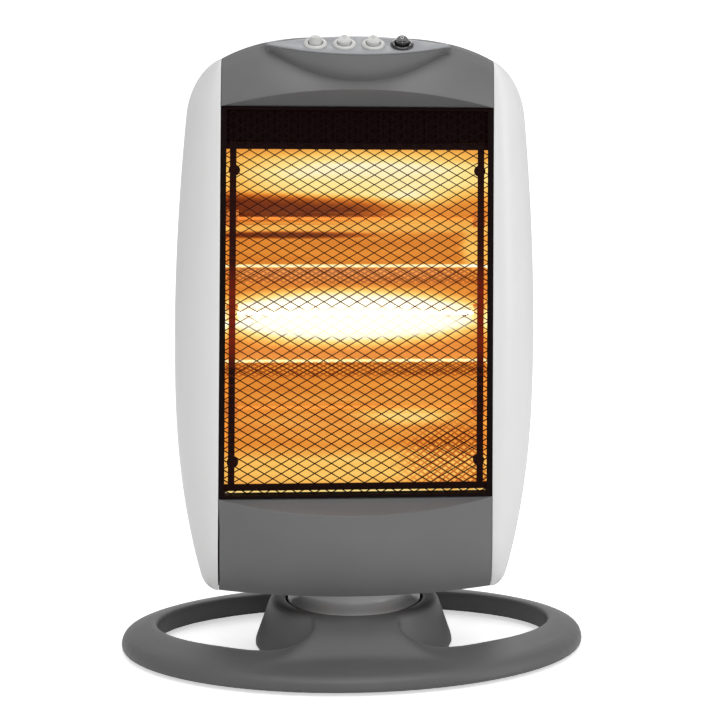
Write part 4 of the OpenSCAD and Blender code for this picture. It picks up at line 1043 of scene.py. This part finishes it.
class HEATER_OT_guard(bpy.types.Operator):
    """Makes the wire guard at its real pitch, strand by strand"""

    bl_idname = "heater.guard"
    bl_label = "Wire guard"

    # Room at the strands' ends, in widths of a strand
    end_room = 0.1
    # In mm: the height of the lower bar's zone, how far it stands below its node, and the softness of its edges
    bar_zone, bar_drop, bar_edge = 7.0, 2.7, 0.3
    # In mm: a clip cap's radius, bore, thickness and place before the bars, and the radius of a guard screw
    cap_r, cap_bore, cap_thick, cap_ahead, screw_r = 4.4, 0.02, 0.15, 0.17, 2.4
    # In mm: the frame lips' width and play, and the heights, the play at the ends and the depths of the reflector's lip
    lip_width, lip_play = 1.6, 0.1
    reflector_lip, lip_in, lip_from, lip_to = (130.6, 131.7), 2.6, 1.6, 2.2

    def execute(self, context):
        low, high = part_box("guard_mesh")
        size = sizes()
        columns = 2 * round((high.x - low.x) / size.diamond_width)
        room = self.end_room * size.strand
        width = (high.x - low.x - 2 * room) / columns * 2
        rows = round((high.z - low.z) / size.diamond_height)
        height = (high.z - low.z - size.strand * 2) / rows
        origin = (low.x + room, (low.y + high.y) / 2, low.z + height / 2 + size.strand)
        obj = grown("wire_guard", strand_tree(), Columns=columns + 1, Rows=rows, Diamond_width=width,
                    Diamond_height=height, Strand=size.strand, Origin=origin, Material=FINISHES["guard_wire"])
        settle(obj, "head", "guard_mesh", slot="black_steel")
        self.bars()
        self.lips(low / MM, high / MM)
        return {"FINISHED"}

    def bars(self):
        """The guard's bars, with the lower one at the height that the photograph shows, and capped clip discs."""
        low = measured("guard_bars")[0]
        obj = copy_of_node("bars", "guard_bars")
        for vertex in obj.data.vertices:
            if vertex.co.z / MM < low.z + self.bar_zone:
                vertex.co.z -= self.bar_drop * MM
        eased(obj, self.bar_edge * MM)
        finish_copy(apply_modifiers(obj), "guard_bar")
        settle(obj, "head", "guard_bars", slot="black_steel")
        first, last = measured("guard_screws")
        ring, sides = lathe([(self.cap_bore, 0), (self.cap_r, 0), (self.cap_r, self.cap_thick),
                             (self.cap_bore, self.cap_thick)], 48)
        points, faces = [], []
        for x in (first.x + self.screw_r, last.x - self.screw_r):
            for z in (first.z + self.screw_r, last.z - self.screw_r):
                faces += [tuple(k + len(points) for k in face) for face in sides]
                points += [Vector((x, low.y - self.cap_ahead, z)) * MM + p.xzy for p in ring]
        settle(mesh_piece("clip_caps", points, faces, FINISHES["guard_bar"]), "head")

    def lips(self, low, high):
        """The frame's inner lips beside the wire guard, and the lip of the reflector under the lower bar."""
        front = measured("window_surround")[0].y + self.lip_play
        sides = [((side * (high.x - self.lip_width), side * high.x), (front, low.y - self.lip_play), (low.z, high.z))
                 for side in (-1, 1)]
        settle(mesh_piece("frame_lips", *boxes(sides), FINISHES["black_steel"]), "head")
        bar = measured("guard_bars")[0]
        strip = ((self.lip_in - high.x, high.x - self.lip_in), (bar.y + self.lip_from, bar.y + self.lip_to),
                 self.reflector_lip)
        settle(mesh_piece("reflector_lip", *boxes([strip]), FINISHES["reflector_steel"]), "head")


def boxes(ranges):
    """Upright boxes, each given by its ranges in x, y and z in millimetres."""
    points, faces = [], []
    for xs, ys, zs in ranges:
        faces += [tuple(len(points) + k for k in face) for face in
                  ((0, 1, 3, 2), (4, 6, 7, 5), (0, 4, 5, 1), (2, 3, 7, 6), (0, 2, 6, 4), (1, 5, 7, 3))]
        points += [Vector((x, y, z)) * MM for x in xs for y in ys for z in zs]
    return points, faces


def coil_tree():
    """Geometry nodes of a filament: a wire wound in a helix along X."""
    tree, given = group_tree("filament_coil", Turns="Float", Length="Float", Coil_radius="Float", Wire_radius="Float",
                             Start="Vector", Material="Material")
    helix = add(tree, "GeometryNodeCurveSpiral", Resolution=9, Rotations=given["Turns"],
                Start_Radius=given["Coil radius"], End_Radius=given["Coil radius"], Height=given["Length"])
    laid = add(tree, "GeometryNodeTransform", helix, Translation=given["Start"], Rotation=(0, math.pi / 2, 0))
    ring = add(tree, "GeometryNodeCurvePrimitiveCircle", Resolution=6, Radius=given["Wire radius"])
    wire = add(tree, "GeometryNodeCurveToMesh", laid, Profile_Curve=ring, Fill_Caps=True)
    return finished(tree, wire, given["Material"])


class HEATER_OT_lamps(bpy.types.Operator):
    """Winds a filament into each quartz tube. The middle lamp is lit"""

    bl_idname = "heater.lamps"
    bl_label = "Lamps"

    wire_angle = 80

    def execute(self, context):
        tree = coil_tree()
        size = sizes()
        for name in ("top", "middle", "bottom"):
            node = f"{name}_filament"
            low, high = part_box(node)
            middle = (low + high) / 2
            radius = (high.z - low.z) / 2 - size.coil_wire
            length = high.x - low.x - 2 * size.coil_wire
            slot = "filament_lit" if name == "middle" else "filament_cold"
            obj = grown(f"{name}_coil", tree, Turns=length / size.coil_pitch, Length=length, Coil_radius=radius,
                        Wire_radius=size.coil_wire, Start=(low.x + size.coil_wire, middle.y, middle.z),
                        Material=FINISHES[slot])
            finish_shading(obj.data, self.wire_angle)
            settle(obj, "head", node, slot=slot)
        return {"FINISHED"}


def seen(tree):
    """1 for what the camera sees, also through the quartz, and 0 for the other rays."""
    rays = add(tree, "ShaderNodeLightPath").outputs
    return maths(tree, "MAXIMUM", rays["Is Camera Ray"], rays["Is Transmission Ray"])


class HEATER_OT_stage(bpy.types.Operator):
    """Sets the pale floor, the studio lights and the camera of the photograph"""

    bl_idname = "heater.stage"
    bl_label = "Stage"

    camera_place = Vector((-0.0320, -1.2000, 0.3854))
    camera_forward = Vector((0.074386, 0.997128, 0.014241))
    camera_roll = math.radians(0.2663)
    camera_lens = 73.824
    camera_shift = (-0.09324, -0.29953)
    # In metres: the floor's half width, the height and the place of its rear wall, the radius between, and its steps
    floor_half, wall_rise, wall_back, bend, bend_steps = 6.0, 5.0, 3.0, 1.0, 12
    # What the camera sees of the floor beyond its light, and how bright the world is as light and as backdrop
    floor_lift, world_light, backdrop = 0.58, 0.53, 1.0
    lamps_at = Vector((0, 0, 0.22))
    # Name, place, size in metres and power in watts
    lamps = (
        ("key", (2.3, -1.1, 1.4), 1.8, 10.0),
        ("side", (2.3, -1.5, 0.3), 0.9, 5.0),
        ("fill", (-1.9, -1.7, 1.0), 1.6, 1.5),
        ("top", (0.1, -0.9, 2.3), 1.6, 17.0),
        ("low", (0.3, -2.2, 0.2), 1.4, 3.0),
        ("rim", (0.2, 1.7, 1.9), 1.4, 9.0),
    )

    def execute(self, context):
        self.floor()
        self.world()
        self.lights()
        self.camera()
        context.scene.view_settings.view_transform = "Standard"
        return {"FINISHED"}

    def floor(self):
        line = [(-self.floor_half, 0.0), (0.0, 0.0)]
        for i in range(self.bend_steps + 1):
            turn = math.pi / 2 * i / self.bend_steps
            line.append((self.wall_back - self.bend * (1 - math.sin(turn)), self.bend * (1 - math.cos(turn))))
        line.append((self.wall_back, self.wall_rise))
        points = [(x, y, z) for y, z in line for x in (-self.floor_half, self.floor_half)]
        faces = [(2 * i, 2 * i + 1, 2 * i + 3, 2 * i + 2) for i in range(len(line) - 1)]
        material, tree, shader = new_material("studio_white")
        feed(tree, shader, Base_Color=(0.93, 0.93, 0.93, 1), Roughness=0.9, Specular_IOR_Level=0.0)
        lift = add(tree, "ShaderNodeEmission", Color=(1, 1, 1, 1),
                   Strength=maths(tree, "MULTIPLY", seen(tree), self.floor_lift))
        total = add(tree, "ShaderNodeAddShader", shader, lift)
        give(tree, tree.nodes["Material Output"].inputs["Surface"], total)
        mesh = bpy.data.meshes.new("studio_floor")
        mesh.from_pydata(points, [], faces)
        mesh.materials.append(material)
        linked("studio_floor", mesh)

    def world(self):
        world = bpy.data.worlds.new("studio")
        bpy.context.scene.world = world
        world.use_nodes = True
        tree = world.node_tree
        feed(tree, tree.nodes["Background"], Color=(1, 1, 1, 1),
             Strength=spread(tree, seen(tree), self.world_light, self.backdrop))

    def lights(self):
        for name, place, size, power in self.lamps:
            lamp = bpy.data.lights.new(name, "AREA")
            lamp.energy = power
            lamp.size = size
            lamp.shape = "SQUARE"
            obj = linked(name, lamp)
            obj.location = place
            obj.rotation_euler = (self.lamps_at - Vector(place)).to_track_quat("-Z", "Y").to_euler()

    def camera(self):
        data = bpy.data.cameras.new("photograph")
        data.sensor_width = 36.0
        data.lens = self.camera_lens
        data.shift_x, data.shift_y = self.camera_shift
        data.clip_start = 0.05
        data.clip_end = 50.0
        obj = linked("photograph", data)
        look = self.camera_forward.to_track_quat("-Z", "Y").to_matrix().to_4x4()
        roll = Matrix.Rotation(self.camera_roll, 4, "Z")
        obj.matrix_world = Matrix.Translation(self.camera_place) @ look @ roll
        bpy.context.scene.camera = obj


class HEATER_PT_panel(bpy.types.Panel):
    """Lists the heater's sizes, colours and steps"""

    bl_label = "Heater"
    bl_idname = "HEATER_PT_panel"
    bl_space_type = "VIEW_3D"
    bl_region_type = "UI"
    bl_category = "Heater"

    def draw(self, context):
        column = self.layout.column()
        for group in (context.scene.heater_sizes, context.scene.heater_colours):
            for name in group.__annotations__:
                column.prop(group, name)
        for step in STEPS:
            column.operator(step.bl_idname)


STEPS = (HEATER_OT_finishes, HEATER_OT_base, HEATER_OT_turntable, HEATER_OT_hood, HEATER_OT_lower_panel,
         HEATER_OT_side_shells, HEATER_OT_rocker_marks, HEATER_OT_guard, HEATER_OT_lamps, HEATER_OT_stage)
CLASSES = (HeaterSizes, HeaterColours, *STEPS, HEATER_PT_panel)


def register():
    for cls in CLASSES:
        bpy.utils.register_class(cls)
    bpy.types.Scene.heater_sizes = bpy.props.PointerProperty(type=HeaterSizes)
    bpy.types.Scene.heater_colours = bpy.props.PointerProperty(type=HeaterColours)


def unregister():
    del bpy.types.Scene.heater_colours
    del bpy.types.Scene.heater_sizes
    for cls in reversed(CLASSES):
        bpy.utils.unregister_class(cls)


def main():
    register()
    bpy.ops.heater.finishes()
    bpy.ops.heater.base()
    bpy.ops.heater.turntable()
    bpy.ops.heater.hood()
    bpy.ops.heater.lower_panel()
    bpy.ops.heater.side_shells()
    bpy.ops.heater.rocker_marks()
    bpy.ops.heater.guard()
    bpy.ops.heater.lamps()
    bpy.ops.heater.stage()


if __name__ == "__main__":
    main()
